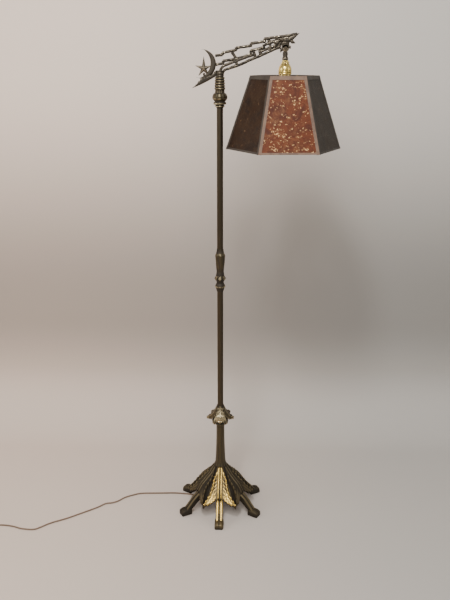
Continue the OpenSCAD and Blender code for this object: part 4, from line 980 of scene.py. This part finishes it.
cap_brass = aged_metal("cap_brass", (0.11, 0.065, 0.015), (0.74, 0.54, 0.15), (0.92, 0.74, 0.28), patch=30,
                       grain_scale=900, dullness=0.62, bite=0.00004)
cap_shell = turned_shell(cap_line, 4.2, cap_relief, pitch=0.4, soften=0.4, steps=144)
cap = piece_from("slotted_cap", [under_pivot(cap_shell)], cap_brass, 50)
pip_count = 36
add_mesh(cap, ring_of([bead_shell(18.9, 1448.4, 0.9)], pip_count, 0.0, cap_brass), (pivot_x * 0.001, 0, 0))
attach(cap, "socket")
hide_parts("socket_cap")

# Socket: a brass shell lined with vulcanised fibre round a porcelain core, with the screw shell and contact
# that take a medium screw bulb, and a turn key through its front.
dress(polished_brass, "polished_brass", "cap_set_screw", "socket_shell", "screw_shell", "centre_contact",
      "shade_clamp_ring", "key_shaft")
fibre, tree, shader = blank_material("liner_fibre", (0.17, 0.11, 0.065), 0.85)
lay = cloudy(tree, object_coordinates(tree), 420, 5, Distortion=2.0)
drive(shader, Base_Color=blend_colours(tree, lay, (0.10, 0.062, 0.036), (0.26, 0.18, 0.11)))
dress(fibre, "liner_fibre", "socket_liner")
porcelain, tree, shader = blank_material("porcelain", (0.80, 0.77, 0.70), 0.22, Coat_Weight=0.4)
specks = fade(tree, cloudy(tree, object_coordinates(tree), 240, 4), 0.62, 0.72)
drive(shader, Base_Color=blend_colours(tree, specks, (0.80, 0.77, 0.70), (0.42, 0.37, 0.31)))
dress(porcelain, "porcelain", "socket_core")
dress(phenolic, "dark_phenolic", "key_paddle")

# Bulb: a round inside-frosted lamp on a brass screw base, screwed up into the socket so that it hangs in the
# middle of the shade. It is switched off.
frosted, tree, shader = blank_material("bulb_glass", (0.90, 0.885, 0.85), 0.32, Transmission_Weight=0.35,
                                               IOR=1.5, Coat_Weight=0.5)
haze = cloudy(tree, object_coordinates(tree), 35, 3)
drive(shader, Base_Color=blend_colours(tree, haze, (0.86, 0.84, 0.80), (0.93, 0.92, 0.89)),
      Roughness=fade(tree, haze, 0.3, 0.7, 0.27, 0.38))
dress(frosted, "bulb_glass", "bulb_glass")
dress(polished_brass, "polished_brass", "bulb_base")

# Shade frame: blackened iron wire soldered at the corners, on a three-armed brass fitter whose ring is clamped
# on the socket shell.
frame_finish = aged_metal("frame_wire", (0.025, 0.02, 0.017), (0.075, 0.062, 0.052), (0.22, 0.17, 0.12),
                          relief=0.45, patch=40, grain_scale=700)
dress(frame_finish, "frame_wire", "shade_frame")
dress(polished_brass, "polished_brass", "shade_fitter")

# Mica: each panel is a plate of shellac-bonded mica flakes, and flake edges show as dark veins. Some flakes
# are pale gold, partly their own colour and partly a painted glint, and most of these lie on the front and
# back panels. The two panels beside the front are painted darker, as painted shade on the sides turned from
# the light, and the rest differ in tone.
flaked = bpy.data.node_groups.new("mica_flakes", "ShaderNodeTree")
group_sockets(flaked, "INPUT", Color=("Dark", "Body", "Light", "Fleck And Glint"), Float=("Fleck And Glint Share", "Seed"))
group_sockets(flaked, "OUTPUT", Color=["Colour"], Float=("Roughness", "Height"))


def combine(tree, operation, first, second, output=0):
    """Works on two vectors."""
    return put(tree, "ShaderNodeVectorMath", {0: first, 1: second}, operation=operation).outputs[output]


given = put(flaked, "NodeGroupInput").outputs
moved = combine(flaked, "ADD", object_coordinates(flaked), given["Seed"])
mottle = cloudy(flaked, moved, 17, 6, Roughness=0.65, Distortion=1.0)
tint = cloudy(flaked, moved, 44, 4, Roughness=0.6, Distortion=0.5)
crease = arithmetic(flaked, "SUBTRACT", cloudy(flaked, moved, 60, 3, Distortion=1.6), 0.5)
crease = fade(flaked, arithmetic(flaked, "ABSOLUTE", crease), 0.0, 0.035, 1.0, 0.0)
wobble = put(flaked, "ShaderNodeTexNoise", {"Vector": moved, "Scale": 130, "Detail": 2}).outputs["Color"]
jagged = combine(flaked, "ADD", moved, combine(flaked, "MULTIPLY", wobble, (0.022, 0.022, 0.016)))
cells = put(flaked, "ShaderNodeTexVoronoi", {"Vector": jagged, "Scale": 185})
choice = put(flaked, "ShaderNodeSeparateXYZ", {0: cells.outputs["Color"]}).outputs
clusters = fade(flaked, mottle, 0.40, 0.58)
# Pale gold flecks: partly the flakes' own colour and partly a painted glint.
chosen = arithmetic(flaked, "GREATER_THAN", arithmetic(flaked, "MULTIPLY_ADD", clusters, 0.12, choice[0]),
                    arithmetic(flaked, "SUBTRACT", 1.12, given["Fleck And Glint Share"]))
fleck_and_glint = arithmetic(flaked, "MULTIPLY", chosen, fade(flaked, cells.outputs["Distance"], 0.30, 0.55, 1.0, 0.0))
fleck_and_glint = arithmetic(flaked, "MULTIPLY", fleck_and_glint, arithmetic(flaked, "MULTIPLY_ADD", choice[1], 0.75, 0.25))
colour = blend_colours(flaked, fade(flaked, mottle, 0.34, 0.58), given["Dark"], given["Body"])
colour = blend_colours(flaked, arithmetic(flaked, "MULTIPLY", fade(flaked, tint, 0.48, 0.72), 0.75), colour,
                       given["Light"])
colour = blend_colours(flaked, arithmetic(flaked, "MULTIPLY", crease, 0.55), colour, given["Dark"])
sunk = arithmetic(flaked, "MULTIPLY", arithmetic(flaked, "LESS_THAN", choice[0], 0.13),
                  fade(flaked, cells.outputs["Distance"], 0.25, 0.5, 0.75, 0.0))
colour = blend_colours(flaked, sunk, colour, given["Dark"])
colour = blend_colours(flaked, fleck_and_glint, colour, given["Fleck And Glint"])
rough = arithmetic(flaked, "MULTIPLY_ADD", mottle, 0.30, 0.34)
level = arithmetic(flaked, "MULTIPLY_ADD", crease, -0.6, arithmetic(flaked, "MULTIPLY", choice[2], 0.5))
put(flaked, "NodeGroupOutput", {"Colour": colour, "Roughness": rough, "Height": level})

# The slate and umber of the two panels beside the front are painted shade: darker copies of the mica on the sides
# turned from the light.
rust = ((0.062, 0.014, 0.006), (0.130, 0.034, 0.011), (0.185, 0.072, 0.026), (0.72, 0.44, 0.19), 0.27)
painted_shade_umber = ((0.011, 0.005, 0.003), (0.027, 0.012, 0.005), (0.044, 0.024, 0.012), (0.14, 0.080, 0.042), 0.06)
painted_shade_slate = ((0.014, 0.010, 0.007), (0.033, 0.024, 0.017), (0.050, 0.039, 0.028), (0.15, 0.120, 0.090), 0.05)
chestnut = ((0.033, 0.010, 0.005), (0.078, 0.024, 0.010), (0.12, 0.050, 0.024), (0.42, 0.27, 0.13), 0.12)
panel_tones_and_shade = (rust, painted_shade_slate, chestnut, rust, chestnut, painted_shade_umber)
for i, (dark, body, light, fleck_and_glint_colour, share) in enumerate(panel_tones_and_shade, 1):
    mica, tree, shader = blank_material(f"mica_{i}", body, 0.4, Specular_IOR_Level=0.16)
    flakes = put(tree, "ShaderNodeGroup", node_tree=flaked)
    for key, value in (("Dark", (*dark, 1)), ("Body", (*body, 1)), ("Light", (*light, 1)),
                       ("Fleck And Glint", (*fleck_and_glint_colour, 1)), ("Fleck And Glint Share", share), ("Seed", 1.7 * i)):
        flakes.inputs[key].default_value = value
    drive(shader, Base_Color=flakes.outputs["Colour"], Roughness=flakes.outputs["Roughness"],
          Normal=bumped(tree, flakes.outputs["Height"], 0.35, 0.0005))
    dress(mica, "mica", f"mica_panel_{i}")

# Binding: thin strips of tape glued over the plates' edges. The strips round the front panel are painted
# paler, a painted highlight where the light in front falls on them. The rest are painted darker, near the
# colour of the mica, as painted shade.
binding, tree, shader = blank_material("binding", (0.30, 0.23, 0.18), 0.6)
shade_turned = 3.6
front = math.radians(shade_turned - 90)
from_axis = combine(tree, "SUBTRACT", object_coordinates(tree), (pivot_x * 0.001, 0, 0))
ahead = combine(tree, "DOT_PRODUCT", from_axis, (math.cos(front), math.sin(front), 0), "Value")
aside = combine(tree, "DOT_PRODUCT", from_axis, (-math.sin(front), math.cos(front), 0), "Value")
spread = arithmetic(tree, "DIVIDE", arithmetic(tree, "ABSOLUTE", aside), ahead)
front_highlight_mask = arithmetic(tree, "MULTIPLY", arithmetic(tree, "LESS_THAN", spread, math.tan(math.pi / 6) + 0.004),
                      arithmetic(tree, "GREATER_THAN", ahead, 0.02))
threads = cloudy(tree, object_coordinates(tree), 520, 4)
stains = cloudy(tree, object_coordinates(tree), 38, 5, Roughness=0.65)
stained = fade(tree, stains, 0.36, 0.64)
pale = blend_colours(tree, stained, (0.100, 0.050, 0.027), (0.185, 0.112, 0.071))
painted_shade_tape = blend_colours(tree, stained, (0.024, 0.017, 0.012), (0.050, 0.039, 0.028))
# Painted light: the front panel's strips take the pale tape colour, and the rest take the dark one.
tone_with_painted_light = blend_colours(tree, front_highlight_mask, painted_shade_tape, pale)
tone_with_painted_light = blend_colours(tree, fade(tree, threads, 0.58, 0.70, 0.0, 0.35), tone_with_painted_light, (0.10, 0.07, 0.05))
drive(shader, Base_Color=tone_with_painted_light, Roughness=fade(tree, stains, 0.3, 0.7, 0.45, 0.75),
      Normal=bumped(tree, threads, 0.4, 0.0003))
dress(binding, "binding", *(f"corner_binding_{i}" for i in range(1, 7)), "top_binding", "bottom_binding")
